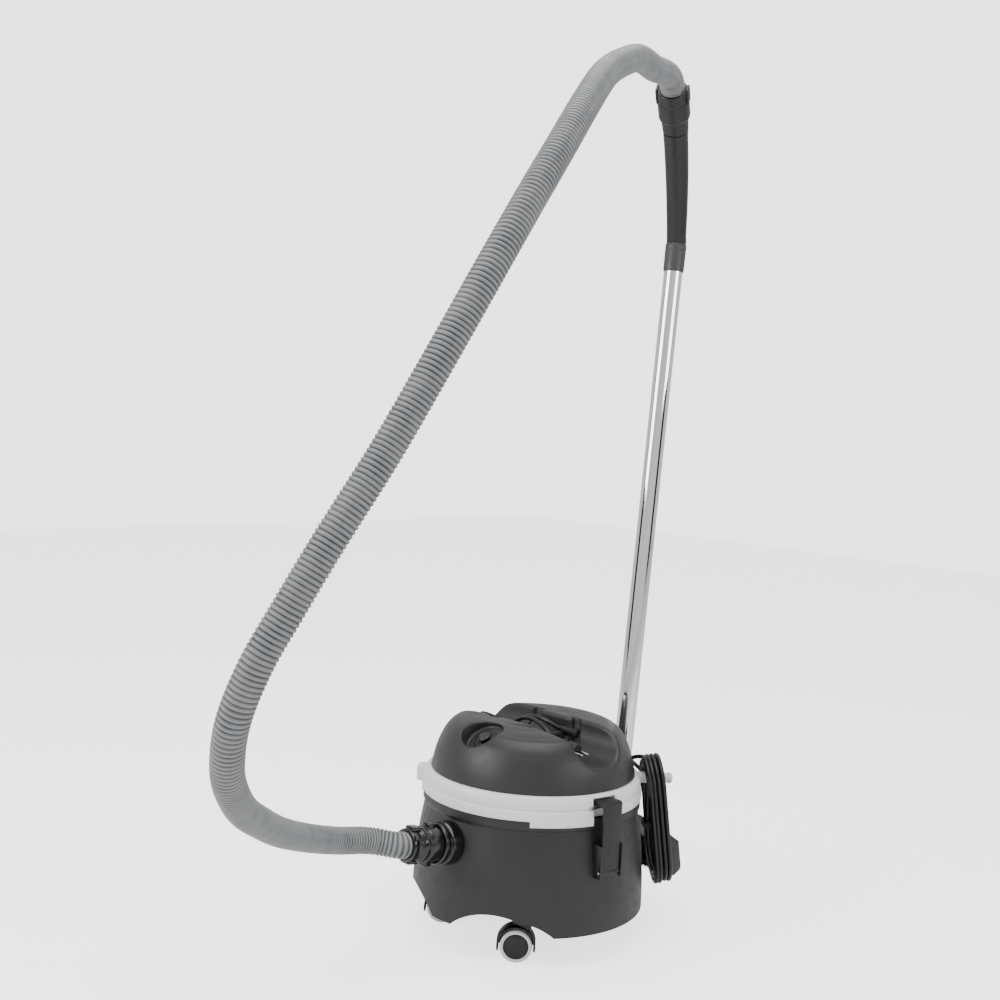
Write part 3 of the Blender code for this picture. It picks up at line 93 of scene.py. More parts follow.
def system(place, z, x_hint):
    """A matrix at a place, with Z along one direction and X as near as it can be to a hint."""
    z = Vector(z).normalized()
    x = (Vector(x_hint) - z * z.dot(Vector(x_hint))).normalized()
    turn = Matrix((x, z.cross(x), z)).transposed().to_4x4()
    return Matrix.Translation(place) @ turn


def about(axis, degrees):
    return Matrix.Rotation(math.radians(degrees), 4, axis)


UP = Vector((0, 0, 1))
TUB = Matrix.Translation(AXIS)
INLET_RISE = math.asin(way("connector_turn").z)
INLET_RUN = (AXIS.y - spot("connector_turn").y) / math.cos(INLET_RISE)
INLET_START = spot("connector_turn") - way("connector_turn") * INLET_RUN
INLET = system(INLET_START, way("connector_turn"), (1, 0, 0))
WAND_LEAN = 4.3
PIVOT_DROP = 0.0370
WAND_WAY = about("X", -WAND_LEAN).to_3x3() @ UP
WAND_FOOT = spot("nozzle_tilt") + WAND_WAY * PIVOT_DROP
WAND = system(WAND_FOOT, WAND_WAY, (1, 0, 0))
NOZZLE_TILT = 25.0
NOZZLE = Matrix.Translation(spot("nozzle_tilt")) @ about("X", NOZZLE_TILT)
MOUTH = system(spot("cuff_swivel"), way("cuff_swivel"), -way("cuff_release_press"))

# %% [markdown]
# ## The camera
# The machine is seen from a little above its own height, from the side where the hose inlet and the
# right-hand latch both show. The camera's place is given as a distance and a bearing from the tub's axis,
# and then it is turned the few degrees that bring the tall wand and the bulge of the hose into one square
# picture.

# %% Camera
CAMERA_DISTANCE, CAMERA_BEARING, CAMERA_HEIGHT = 2.187, -46.0, 0.8405
PITCH_DOWN, YAW_LEFT, ROLL = 3.92, 1.96, 2.84
LENS, SENSOR = 49.3, 36.0


def make_camera():
    bearing = math.radians(CAMERA_BEARING)
    place = AXIS + Vector((CAMERA_DISTANCE * math.cos(bearing), CAMERA_DISTANCE * math.sin(bearing),
                           CAMERA_HEIGHT))
    data = bpy.data.cameras.new("camera")
    data.lens, data.sensor_width = LENS, SENSOR
    camera = bpy.data.objects.new("camera", data)
    bpy.context.scene.collection.objects.link(camera)
    level = about("Z", CAMERA_BEARING + 90.0 + YAW_LEFT) @ about("X", 90.0 - PITCH_DOWN)
    camera.matrix_world = Matrix.Translation(place) @ level @ about("Z", ROLL)
    bpy.context.scene.camera = camera
    print("camera stands at", tuple(round(c, 3) for c in place))
    return camera


make_camera()

# %% [markdown]
# ## Finishes
# Moulded plastic is never one flat colour. Its grain breaks up the highlight, the tone drifts a little
# over a large panel, and dust dulls some of the gloss. One builder makes all of the plastics, the cord sheath
# among them, from those three effects, and the metals and the cloth get small recipes of their own.

# %% Node helpers


def blank_material(name):
    made = bpy.data.materials.new(name)
    made.use_nodes = True
    tree = made.node_tree
    return made, tree, tree.nodes["Principled BSDF"]


def node(tree, kind, inputs=None, **settings):
    made = tree.nodes.new(kind)
    for key, value in settings.items():
        setattr(made, key, value)
    for key, value in (inputs or {}).items():
        if isinstance(value, bpy.types.NodeSocket):
            tree.links.new(value, made.inputs[key])
        else:
            made.inputs[key].default_value = value
    return made


def object_noise(tree, scale, detail=3.0, roughness=0.55, stretch=(1, 1, 1)):
    """Noise fixed to the piece, with its scale in bumps per metre."""
    where = node(tree, "ShaderNodeTexCoord")
    mapped = node(tree, "ShaderNodeMapping", {"Vector": where.outputs["Object"], "Scale": stretch})
    return node(tree, "ShaderNodeTexNoise",
                {"Vector": mapped.outputs["Vector"], "Scale": scale, "Detail": detail,
                                             "Roughness": roughness}).outputs["Fac"]


def spread(tree, source, low_value, high_value, low_at=0.35, high_at=0.65):
    return node(tree, "ShaderNodeMapRange", {"Value": source, "From Min": low_at, "From Max": high_at,
                                             "To Min": low_value, "To Max": high_value}).outputs["Result"]


def tint(tree, source, dark, light):
    ramp = node(tree, "ShaderNodeValToRGB", {"Fac": source})
    ramp.color_ramp.elements[0].color = (*dark, 1)
    ramp.color_ramp.elements[1].color = (*light, 1)
    ramp.color_ramp.elements[0].position, ramp.color_ramp.elements[1].position = 0.3, 0.7
    return ramp.outputs["Color"]


def bump(tree, height, strength, distance):
    return node(tree, "ShaderNodeBump",
                {"Height": height, "Strength": strength, "Distance": distance}).outputs["Normal"]


# %% Moulded plastics


def plastic(name, colour, roughness, grain=0.25, grain_scale=2600.0, drift=0.10, coat=0.0):
    """Moulded plastic: fine grain, a slow drift in tone and patches of dulled gloss."""
    made, tree, shader = blank_material(name)
    slow = object_noise(tree, 9.0)
    dark = tuple(c * (1 - drift) for c in colour)
    light = tuple(min(1.0, c * (1 + drift)) for c in colour)
    tree.links.new(tint(tree, slow, dark, light), shader.inputs["Base Color"])
    tree.links.new(spread(tree, object_noise(tree, 46.0), roughness * 0.90, roughness * 1.12),
                   shader.inputs["Roughness"])
    tree.links.new(bump(tree, object_noise(tree, grain_scale, 2.0), grain, 0.0002), shader.inputs["Normal"])
    if coat:
        shader.inputs["Coat Weight"].default_value = coat
        shader.inputs["Coat Roughness"].default_value = 0.08
    return made


TUB_PLASTIC = plastic("tub_plastic", (0.016, 0.016, 0.017), 0.46, grain=0.35)
HEAD_PLASTIC = plastic("head_plastic", (0.020, 0.020, 0.021), 0.40, grain=0.30)
PALE_PLASTIC = plastic("pale_plastic_finish", (0.80, 0.82, 0.84), 0.34, grain=0.10, drift=0.02)
BLACK_PLASTIC = plastic("black_plastic_finish", (0.006, 0.006, 0.0065), 0.38, grain=0.25)
GLOSSY_BLACK = plastic("glossy_black_finish", (0.004, 0.004, 0.004), 0.16, grain=0.05, drift=0.05, coat=0.4)
SLEEVE_PLASTIC = plastic("sleeve_finish", (0.044, 0.045, 0.046), 0.40, grain=0.2)
CORD_SHEATH = plastic("cord_sheath_finish", (0.006, 0.006, 0.0065), 0.36, grain=0.15, grain_scale=900.0)
SOFT_RUBBER = plastic("soft_rubber_finish", (0.010, 0.010, 0.010), 0.70, grain=0.4)
TYRE_WHITE = plastic("tyre_white_finish", (0.74, 0.74, 0.73), 0.50, grain=0.2, drift=0.04)

# %% Metals, card, cloth and bristle


def metal(name, colour, roughness, brushed=0.0, stretch=(1, 1, 1)):
    made, tree, shader = blank_material(name)
    shader.inputs["Metallic"].default_value = 1.0
    smear = object_noise(tree, 60.0, stretch=stretch)
    tree.links.new(tint(tree, smear, tuple(c * 0.94 for c in colour), colour), shader.inputs["Base Color"])
    tree.links.new(spread(tree, smear, roughness * 0.8, roughness * 1.3), shader.inputs["Roughness"])
    if brushed:
        tree.links.new(bump(tree, object_noise(tree, 900.0, stretch=stretch), brushed, 0.0001),
                       shader.inputs["Normal"])
    return made


def weave(name, colour, threads=1100.0, strength=0.5):
    """Cloth or card: crossed waves raise the threads, and noise stains them a little."""
    made, tree, shader = blank_material(name)
    where = node(tree, "ShaderNodeTexCoord").outputs["Object"]
    waves = [node(tree, "ShaderNodeTexWave",
                  {"Vector": where, "Scale": threads / 20, "Distortion": 0.6, "Detail": 1.0},
                  bands_direction=axis).outputs["Fac"] for axis in ("X", "Y")]
    both = node(tree, "ShaderNodeMath", {0: waves[0], 1: waves[1]}, operation="MULTIPLY").outputs["Value"]
    stain = object_noise(tree, 24.0)
    tree.links.new(tint(tree, stain, tuple(c * 0.82 for c in colour), colour), shader.inputs["Base Color"])
    tree.links.new(bump(tree, both, strength, 0.0004), shader.inputs["Normal"])
    shader.inputs["Roughness"].default_value = 0.9
    return made


CHROME = metal("chrome_finish", (0.86, 0.86, 0.87), 0.055)
STEEL = metal("steel_finish", (0.62, 0.62, 0.63), 0.26, brushed=0.15, stretch=(1, 1, 8))
COPPER = metal("copper_finish", (0.62, 0.31, 0.17), 0.35, brushed=0.5, stretch=(1, 1, 0.1))
FILTER_CLOTH = weave("filter_cloth_finish", (0.68, 0.68, 0.63))
CARD = weave("card_finish", (0.44, 0.33, 0.21), threads=500.0, strength=0.2)
BRISTLE = weave("bristle_finish", (0.045, 0.045, 0.05), threads=3000.0, strength=1.0)
print(len(bpy.data.materials), "materials in the file")

# %% [markdown]
# ## Shop tools
# Four ways of making a shape serve nearly all of the pieces. Turning spins a profile whose corners are
# first rounded. A block starts as a box with soft edges. Cutting and joining are Booleans whose result is
# baked at once. Skinning wraps a mesh round a formula for distance, which is the way to get the soft
# blends of a moulded cover.

# %% Placing and finishing a piece


def settle(mesh, system_matrix):
    """Moves a mesh from its own axis system into the machine's."""
    mesh.transform(system_matrix)
    return mesh


def shade(mesh, angle=32.0):
    mesh.shade_smooth()
    mesh.set_sharp_from_angle(angle=math.radians(angle))
    return mesh


def piece(name, mesh, finish, body, slot, *replaced):
    """Makes a finished mesh a piece: its finish, the body it moves with and what it stands for."""
    mesh.materials.clear()
    for one in (finish if isinstance(finish, (list, tuple)) else [finish]):
        mesh.materials.append(one)
    obj = bpy.data.objects.new(name, mesh)
    bpy.context.scene.collection.objects.link(obj)
    if body:
        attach(obj, body)
    if replaced:
        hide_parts(*replaced)
    print(f"{name}: {len(mesh.polygons)} faces")
    return obj


# %% Turning


def rounded(points, radius, steps=3, closed=False):
    """A profile with each corner replaced by a short curve; the cut is limited by the shorter side."""
    result = []
    count = len(points)
    for index, point in enumerate(points):
        if not closed and index in (0, count - 1):
            result.append(tuple(point))
            continue
        here = Vector(point)
        before, after = Vector(points[index - 1]), Vector(points[(index + 1) % count])
        to_before, to_after = before - here, after - here
        reach = min(radius, to_before.length * 0.45, to_after.length * 0.45)
        if reach < 1e-5 or to_before.normalized().dot(to_after.normalized()) < -0.9995:
            result.append(tuple(here))
            continue
        start, end = here + to_before.normalized() * reach, here + to_after.normalized() * reach
        for step in range(steps + 1):
            t = step / steps
            result.append(tuple(start * (1 - t) ** 2 + here * 2 * t * (1 - t) + end * t ** 2))
    return result


def turned(profile, sides=96, ring=False, radius=0.0008):
    """A mesh spun about +Z from (radius, height) points that run down the outer side."""
    points = rounded([Vector(p) for p in profile], radius,
                     closed=ring) if radius else [tuple(p) for p in profile]
    edit = bmesh.new()
    columns = []
    for step in range(sides):
        a = 2 * math.pi * step / sides
        columns.append([edit.verts.new((r * math.cos(a), r * math.sin(a), z)) for r, z in points])
    span = len(points) if ring else len(points) - 1
    for step in range(sides):
        here, there = columns[step], columns[(step + 1) % sides]
        for i in range(span):
            j = (i + 1) % len(points)
            edit.faces.new((here[i], here[j], there[j], there[i]))
    bmesh.ops.remove_doubles(edit, verts=edit.verts, dist=1e-6)
    bmesh.ops.dissolve_degenerate(edit, edges=edit.edges, dist=1e-7)
    mesh = bpy.data.meshes.new("turned")
    edit.normal_update()
    edit.to_mesh(mesh)
    edit.free()
    return shade(mesh)


# %% Blocks, plates and rods


def block(low_corner, high_corner, soft=0.001, steps=3):
    edit = bmesh.new()
    bmesh.ops.create_cube(edit, size=1.0)
    size = Vector(high_corner) - Vector(low_corner)
    middle = (Vector(high_corner) + Vector(low_corner)) / 2
    bmesh.ops.transform(edit, matrix=Matrix.Translation(middle) @ Matrix.Diagonal((*size, 1.0)),
                        verts=edit.verts)
    if soft:
        bmesh.ops.bevel(edit, geom=edit.edges[:], offset=soft, segments=steps, profile=0.5, affect="EDGES")
    mesh = bpy.data.meshes.new("block")
    edit.to_mesh(mesh)
    edit.free()
    return shade(mesh)


def slab(outline, low_z, high_z, soft=0.0008, steps=2, corner=0.0):
    """A flat outline raised from low_z to high_z, with its rims softened."""
    points = rounded([Vector(p) for p in outline], corner, steps=4, closed=True) if corner else outline
    edit = bmesh.new()
    face = edit.faces.new([edit.verts.new((x, y, low_z)) for x, y in points])
    edit.normal_update()
    if face.normal.z > 0:
        bmesh.ops.reverse_faces(edit, faces=[face])
    raised = bmesh.ops.extrude_face_region(edit, geom=[face])
    up = [v for v in raised["geom"] if isinstance(v, bmesh.types.BMVert)]
    bmesh.ops.translate(edit, verts=up, vec=(0, 0, high_z - low_z))
    bmesh.ops.recalc_face_normals(edit, faces=edit.faces)
    if soft:
        rims = [e for e in edit.edges if all(abs(v.co.z - e.verts[0].co.z) < 1e-7 for v in e.verts)]
        bmesh.ops.bevel(edit, geom=rims, offset=soft, segments=steps, profile=0.5, affect="EDGES")
    mesh = bpy.data.meshes.new("slab")
    edit.to_mesh(mesh)
    edit.free()
    return shade(mesh)


def rod(radius, low_z, high_z, sides=48, soft=0.0004):
    return turned([(0, high_z), (radius, high_z), (radius, low_z), (0, low_z)], sides, radius=soft)


# %% Cutting and joining


def carve(mesh, *others, operation="DIFFERENCE"):
    """A Boolean of meshes, baked. The tools are thrown away afterwards."""
    base = bpy.data.objects.new("work", mesh)
    bpy.context.scene.collection.objects.link(base)
    tools = []
    for other in others:
        tool = bpy.data.objects.new("tool", other)
        bpy.context.scene.collection.objects.link(tool)
        tool.hide_render = True
        step = base.modifiers.new("cut", "BOOLEAN")
        step.operation = operation
        step.object = tool
        tools.append(tool)
    bpy.context.view_layer.update()
    graph = bpy.context.evaluated_depsgraph_get()
    made = bpy.data.meshes.new_from_object(base.evaluated_get(graph))
    for used in (base, *tools):
        bpy.data.objects.remove(used)
    return shade(made)


def merge(*meshes):
    """Several meshes as one, without joining their surfaces."""
    edit = bmesh.new()
    for mesh in meshes:
        edit.from_mesh(mesh)
    made = bpy.data.meshes.new("merged")
    edit.to_mesh(made)
    edit.free()
    return shade(made)


# %% Skinning a distance formula


def smooth_max(a, b, blend):
    h = np.maximum(blend - np.abs(a - b), 0.0) / blend
    return np.maximum(a, b) + h * h * blend / 4


def smooth_min(a, b, blend):
    return -smooth_max(-a, -b, blend)


def soft_box(x, y, z, middle, half, soft):
    """Distance to a box with rounded edges."""
    d = [np.abs(v - m) - (h - soft) for v, m, h in zip((x, y, z), middle, half)]
    outside = np.sqrt(sum(np.maximum(v, 0.0) ** 2 for v in d))
    return outside + np.minimum(np.maximum(np.maximum(d[0], d[1]), d[2]), 0.0) - soft


def skin(name, field, low_corner, high_corner, step):
    """Surface nets: one vertex in each cell that the surface crosses, then pulled onto the surface."""
    axes = [np.arange(a, b + step, step) for a, b in zip(low_corner, high_corner)]
    grid = np.meshgrid(*axes, indexing="ij")
    values = field(*grid)
    inside = values < 0
    cells = tuple(n - 1 for n in values.shape)
    total, count = np.zeros(cells + (3,)), np.zeros(cells)
    crossings = []
    for axis in range(3):
        first = [slice(None)] * 3
        second = [slice(None)] * 3
        first[axis], second[axis] = slice(0, -1), slice(1, None)
        a, b = values[tuple(first)], values[tuple(second)]
        crossed = inside[tuple(first)] != inside[tuple(second)]
        crossings.append((crossed, inside[tuple(first)]))
        share = np.where(crossed, a / np.where(crossed, a - b, 1.0), 0.0)
        others = [i for i in range(3) if i != axis]
        base = np.stack(np.meshgrid(*[np.arange(n, dtype=float) for n in crossed.shape], indexing="ij"), -1)
        base[..., axis] += share
        for u in (0, 1):
            for v in (0, 1):
                take = [slice(None)] * 3
                take[others[0]] = slice(u, u + cells[others[0]])
                take[others[1]] = slice(v, v + cells[others[1]])
                mask = crossed[tuple(take)]
                total += np.where(mask[..., None], base[tuple(take)], 0.0)
                count += mask
    filled = count > 0
    index = np.full(cells, -1)
    index[filled] = np.arange(filled.sum())
    points = np.array([a[0] for a in axes]) + step * total[filled] / count[filled][:, None]
    points = pull_onto(points, field, step)
    quads = []
    for axis, (crossed, starts_inside) in enumerate(crossings):
        u, v = [i for i in range(3) if i != axis]
        core = [slice(None)] * 3
        core[u], core[v] = slice(1, -1), slice(1, -1)
        where = np.argwhere(crossed[tuple(core)])
        inner = starts_inside[tuple(core)][tuple(where.T)]
        where[:, u] += 1
        where[:, v] += 1
        corners = []
        for du, dv in ((0, 0), (1, 0), (1, 1), (0, 1)):
            cell = where.copy()
            cell[:, u] -= du
            cell[:, v] -= dv
            corners.append(index[tuple(cell.T)])
        faces = np.stack(corners, 1)
        flip = inner if axis != 1 else ~inner
        faces[~flip] = faces[~flip][:, ::-1]
        quads.append(faces)
    mesh = bpy.data.meshes.new(name)
    mesh.from_pydata(points.tolist(), [], np.concatenate(quads).tolist())
    mesh.update()
    return shade(mesh, 42.0)


def pull_onto(points, field, step, rounds=3):
    reach = step * 0.02
    for _ in range(rounds):
        value = field(*points.T)
        slope = np.stack([(field(*(points + step).T) - field(*(points - step).T)) / (2 * reach)
                          for step in reach * np.eye(3)], 1)
        move = slope * (value / np.maximum((slope ** 2).sum(1), 0.05))[:, None]
        length = np.linalg.norm(move, axis=1, keepdims=True)
        points = points - move * np.minimum(1.0, 0.5 * step / np.maximum(length, 1e-9))
    return points


# %% A smooth route through points


def route_points(points, count):
    """Evenly spread points on a smooth curve through the given ones."""
    knots = [Vector(p) for p in points]
    knots = [2 * knots[0] - knots[1]] + knots + [2 * knots[-1] - knots[-2]]
    fine = []
    for a, b, c, d in zip(knots, knots[1:], knots[2:], knots[3:]):
        ab, bc, cd = ((q - p).length for p, q in ((a, b), (b, c), (c, d)))
        way_b = bc * ((b - a) / ab - (c - a) / (ab + bc) + (c - b) / bc)
        way_c = bc * ((c - b) / bc - (d - b) / (bc + cd) + (d - c) / cd)
        for step in range(24):
            t = step / 24
            fine.append((2 * t ** 3 - 3 * t ** 2 + 1) * b + (t ** 3 - 2 * t ** 2 + t) * way_b
                        + (3 * t ** 2 - 2 * t ** 3) * c + (t ** 3 - t ** 2) * way_c)
    fine.append(knots[-2])
    run = np.concatenate([[0.0], np.cumsum([(b - a).length for a, b in zip(fine, fine[1:])])])
    goals = np.linspace(0.0, run[-1], count)
    coordinates = np.array([tuple(p) for p in fine])
    return [Vector(p) for p in np.stack([np.interp(goals, run, coordinates[:, i]) for i in range(3)], 1)]


def run_length(points):
    return sum((b - a).length for a, b in zip(points, points[1:]))


# %% [markdown]
# ## The hose
# A suction hose is a thin tube with a raised rib every few millimetres, so that it bends without closing
# up. Placing each rib by hand would be hopeless. A Geometry Nodes tree takes the hose's line, puts a
# fixed number of points on each rib, sets the radius at each point from a wave, and sweeps a circle along
# it. The rib's pitch and height are inputs of the tree. The same tree could make any corrugated hose.

# %% The hose's line
HOSE_DIAMETER = 0.0400
RIB_PITCH, RIB_HEIGHT, POINTS_PER_RIB = 0.0062, 0.0021, 6
GAP = 0.0003
CONNECTOR_FACE = 0.2120 + GAP
HOSE_ROUTE = [
    (-0.020, -0.312, 0.191), (-0.016, -0.378, 0.205), (0.027, -0.479, 0.241), (0.114, -0.599, 0.302),
    (0.188, -0.689, 0.364), (0.240, -0.738, 0.426), (0.270, -0.752, 0.484), (0.291, -0.742, 0.544),
    (0.310, -0.713, 0.611), (0.325, -0.677, 0.680), (0.344, -0.617, 0.782), (0.361, -0.556, 0.893),
    (0.370, -0.488, 1.007), (0.364, -0.430, 1.086), (0.346, -0.366, 1.157), (0.305, -0.276, 1.238),
    (0.256, -0.193, 1.292), (0.212, -0.110, 1.330), (0.165, -0.022, 1.359), (0.132, 0.045, 1.365),
]


def hose_line():
    start = INLET @ Vector((0, 0, CONNECTOR_FACE + 0.0250 + GAP))
    end = MOUTH @ Vector((0, 0, 0.0060 + GAP))
    out, back = way("connector_turn"), way("cuff_swivel")
    knots = [start, start + out * 0.020, start + out * 0.040] + [Vector(p) + AXIS for p in HOSE_ROUTE]
    return knots + [end + back * 0.045, end + back * 0.022, end]


HOSE_KNOTS = hose_line()
HOSE_LINE = route_points(HOSE_KNOTS, 400)
HOSE_LENGTH = run_length(HOSE_LINE)
RIBS = round(HOSE_LENGTH / RIB_PITCH)
print("the hose is", round(HOSE_LENGTH, 3), "m long and has", RIBS, "ribs")

# %% The rib tree


def new_tree(name, inputs):
    """A Geometry Nodes tree with a geometry input, the named size inputs and a geometry output."""
    tree = bpy.data.node_groups.new(name, "GeometryNodeTree")
    tree.interface.new_socket("Geometry", in_out="INPUT", socket_type="NodeSocketGeometry")
    for label, kind in inputs:
        tree.interface.new_socket(label, in_out="INPUT", socket_type=kind)
    tree.interface.new_socket("Geometry", in_out="OUTPUT", socket_type="NodeSocketGeometry")
    return tree, tree.nodes.new("NodeGroupInput"), tree.nodes.new("NodeGroupOutput")


def math_node(tree, operation, a, b=0.0, c=0.5):
    return node(tree, "ShaderNodeMath", {0: a, 1: b, 2: c}, operation=operation).outputs["Value"]


def rib_tree():
    tree, inside, out = new_tree("corrugation",
                                 [("Ribs", "NodeSocketInt"), ("Points Per Rib", "NodeSocketInt"),
                                                 ("Radius", "NodeSocketFloat"),
                                  ("Rib Height", "NodeSocketFloat"),
                                                 ("Sides", "NodeSocketInt"),
                                  ("Material", "NodeSocketMaterial")])
    total = math_node(tree, "MULTIPLY", inside.outputs["Ribs"], inside.outputs["Points Per Rib"])
    line = node(tree, "GeometryNodeResampleCurve", {"Curve": inside.outputs["Geometry"],
                                                    "Count": math_node(tree, "ADD", total, 1.0)})
    index = node(tree, "GeometryNodeInputIndex").outputs["Index"]
    phase = math_node(tree, "MULTIPLY", math_node(tree, "DIVIDE", index, inside.outputs["Points Per Rib"]),
                      2 * math.pi)
    wave = math_node(tree, "ADD", math_node(tree, "MULTIPLY", math_node(tree, "COSINE", phase), -0.5), 0.5)
    crest = math_node(tree, "POWER", wave, 0.60)
    dip = math_node(tree, "MULTIPLY", math_node(tree, "SUBTRACT", crest, 1.0), inside.outputs["Rib Height"])
    radius = math_node(tree, "ADD", dip, inside.outputs["Radius"])
    # the crest value is kept for the hose's material, which uses it for roughness and to paint shade: dark in
    # the valleys, pale on the crests
    store = node(tree, "GeometryNodeStoreNamedAttribute", {"Geometry": line.outputs["Curve"], "Name": "crest",
                                                           "Value": crest}, data_type="FLOAT", domain="POINT")
    sized = node(tree, "GeometryNodeSetCurveRadius", {"Curve": store.outputs["Geometry"], "Radius": radius})
    circle = node(tree, "GeometryNodeCurvePrimitiveCircle",
                  {"Resolution": inside.outputs["Sides"], "Radius": 1.0})
    tube_inputs = {"Curve": sized.outputs["Curve"], "Profile Curve": circle.outputs["Curve"],
                   "Fill Caps": True}
    tube = node(tree, "GeometryNodeCurveToMesh", tube_inputs)
    if "Scale" in tube.inputs:
        tree.links.new(radius, tube.inputs["Scale"])
    smooth = node(tree, "GeometryNodeSetShadeSmooth", {"Geometry": tube.outputs["Mesh"]})
    whole = node(tree, "GeometryNodeRealizeInstances", {"Geometry": smooth.outputs["Geometry"]})
    painted = node(tree, "GeometryNodeSetMaterial", {"Geometry": whole.outputs["Geometry"],
                                                     "Material": inside.outputs["Material"]})
    tree.links.new(painted.outputs["Geometry"], out.inputs["Geometry"])
    return tree


def from_nodes(tree, source, values):
    """Runs a tree on an object with its inputs set by name, and returns the plain mesh it makes."""
    step = source.modifiers.new("nodes", "NODES")
    step.node_group = tree
    for item in tree.interface.items_tree:
        if item.item_type == "SOCKET" and item.in_out == "INPUT" and item.name in values:
            step[item.identifier] = values[item.name]
    bpy.context.view_layer.update()
    graph = bpy.context.evaluated_depsgraph_get()
    mesh = bpy.data.meshes.new_from_object(source.evaluated_get(graph))
    source.modifiers.remove(step)
    return mesh


def line_object(name, points, cyclic=False):
    """A poly curve through points, as the source of a sweep."""
    curve = bpy.data.curves.new(name, "CURVE")
    curve.dimensions = "3D"
    spline = curve.splines.new("POLY")
    spline.points.add(len(points) - 1)
    for knot, at in zip(spline.points, points):
        knot.co = (*at, 1.0)
    spline.use_cyclic_u = cyclic
    obj = bpy.data.objects.new(name, curve)
    bpy.context.scene.collection.objects.link(obj)
    return obj


# %% The hose's own plastic


def hose_plastic():
    """Silver-grey vinyl, duller down in the valleys, with painted shade: the colour is painted dark in the
    valleys and pale on the crests.
    """
    made, tree, shader = blank_material("hose_finish_with_painted_shade")
    crest = node(tree, "ShaderNodeAttribute", attribute_name="crest").outputs["Fac"]
    # painted shade: dark down in the valleys, where the ribs shade each other, and pale on the crests
    ramp = node(tree, "ShaderNodeValToRGB", {"Fac": crest})
    ramp.color_ramp.elements[0].color = (0.022, 0.024, 0.026, 1)
    ramp.color_ramp.elements[1].color = (0.215, 0.225, 0.235, 1)
    ramp.color_ramp.elements[0].position, ramp.color_ramp.elements[1].position = 0.10, 0.85
    dust = node(tree, "ShaderNodeMixRGB", {"Fac": spread(tree, object_noise(tree, 30.0), 0.0, 0.16),
                                           "Color1": ramp.outputs["Color"], "Color2": (0.50, 0.50, 0.50, 1)})
    tree.links.new(dust.outputs["Color"], shader.inputs["Base Color"])
    tree.links.new(spread(tree, crest, 0.55, 0.30, 0.2, 0.9), shader.inputs["Roughness"])
    tree.links.new(bump(tree, object_noise(tree, 1500.0), 0.1, 0.0002), shader.inputs["Normal"])
    shader.inputs["Specular IOR Level"].default_value = 0.6
    return made


HOSE_PLASTIC = hose_plastic()


def make_hose():
    source = line_object("hose_source", HOSE_LINE)
    mesh = from_nodes(rib_tree(), source,
                      {"Ribs": RIBS, "Points Per Rib": POINTS_PER_RIB, "Radius": HOSE_DIAMETER / 2,
                                           "Rib Height": RIB_HEIGHT, "Sides": 28, "Material": HOSE_PLASTIC})
    bpy.data.objects.remove(source)
    hose = piece("suction_hose", mesh, HOSE_PLASTIC, None, "hose_grey", "hose")
    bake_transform(hose, "root", "wand", start=HOSE_LINE[0], end=MOUTH @ Vector((0, 0, 0.0450)))
    return hose


make_hose()

# %% [markdown]
# ## Making the small pieces finer
# Brackets, pins and levers are already the right shape in the frame, and only lack the soft edges that
# moulding and deburring give them. Copying a frame piece and rounding its sharp edges keeps every hole
# where it belongs.

# %% Softened copies


def softened(name, source, finish, body, slot, width=0.0010, steps=3, angle=34.0):
    """A copy of a frame piece with its sharp edges rounded."""
    work = bpy.data.objects.new("work", frame["nodes"][source].data.copy())
    bpy.context.scene.collection.objects.link(work)
    edit = bmesh.new()
    edit.from_mesh(work.data)
    bmesh.ops.remove_doubles(edit, verts=edit.verts, dist=2e-6)
    bmesh.ops.dissolve_limit(edit, angle_limit=math.radians(1.0), verts=edit.verts, edges=edit.edges)
    edit.to_mesh(work.data)
    edit.free()
    for attribute in [a.name for a in work.data.attributes if "normal" in a.name]:
        work.data.attributes.remove(work.data.attributes[attribute])
    step = work.modifiers.new("soften", "BEVEL")
    step.width, step.segments, step.limit_method = width, steps, "ANGLE"
    step.angle_limit = math.radians(angle)
    step.use_clamp_overlap = True
    bpy.context.view_layer.update()
    made = bpy.data.meshes.new_from_object(work.evaluated_get(bpy.context.evaluated_depsgraph_get()))
    bpy.data.objects.remove(work)
    return piece(name, shade(made, 38.0), finish, body, slot, source)


# %% [markdown]
# ## The tub
# The tub is one moulding. Its wall swells gently from the neck to the foot, a proud band stiffens the
# rim, and the skirt is cut into arches so that the casters can swing. The arches are cut with drums laid
# across the skirt.

# %% Tub
RIM_R, RIM_Z, NECK_R, FOOT_R = 0.1755, 0.2220, 0.1720, 0.1865
FLOOR_Z, FLOOR_T, SKIRT_Z, WALL = 0.0820, 0.0040, 0.0480, 0.0035
CASTERS = {"front_right": -46.0, "front_left": -134.0, "rear_right": 60.0, "rear_left": 120.0}
CASTER_R, BOSS_R, BOSS_Z, STEM_R, POCKET_R = 0.1480, 0.0200, 0.0605, 0.0053, 0.0480
INLET_BORE_R = 0.0245


def wall_points(offset=0.0):
    """The outer wall from the rim band down to the foot, smooth between the chosen stations."""
    stations = [(NECK_R, 0.2055), (0.1738, 0.1960), (0.1790, 0.1640), (0.1840, 0.1150), (0.1859, 0.0820),
                (FOOT_R, SKIRT_Z)]
    smooth = [(p.x, p.y) for p in route_points([(r, z, 0) for r, z in stations], 26)]
    upper = rounded([Vector(p) for p in [(RIM_R, RIM_Z), (RIM_R, 0.2095), (NECK_R, 0.2055), smooth[2]]],
                    0.0020, 5)
    return [(r + offset, z) for r, z in upper[:-1] + smooth[2:]]


def tub_envelope(offset=GAP):
    wall = wall_points(offset)
    return turned([(0, RIM_Z + 0.03), (wall[0][0], RIM_Z + 0.03), *wall, (0, SKIRT_Z)], 160, radius=0)


def caster_place(angle):
    return Vector((CASTER_R * math.cos(math.radians(angle)), CASTER_R * math.sin(math.radians(angle)), 0.0))


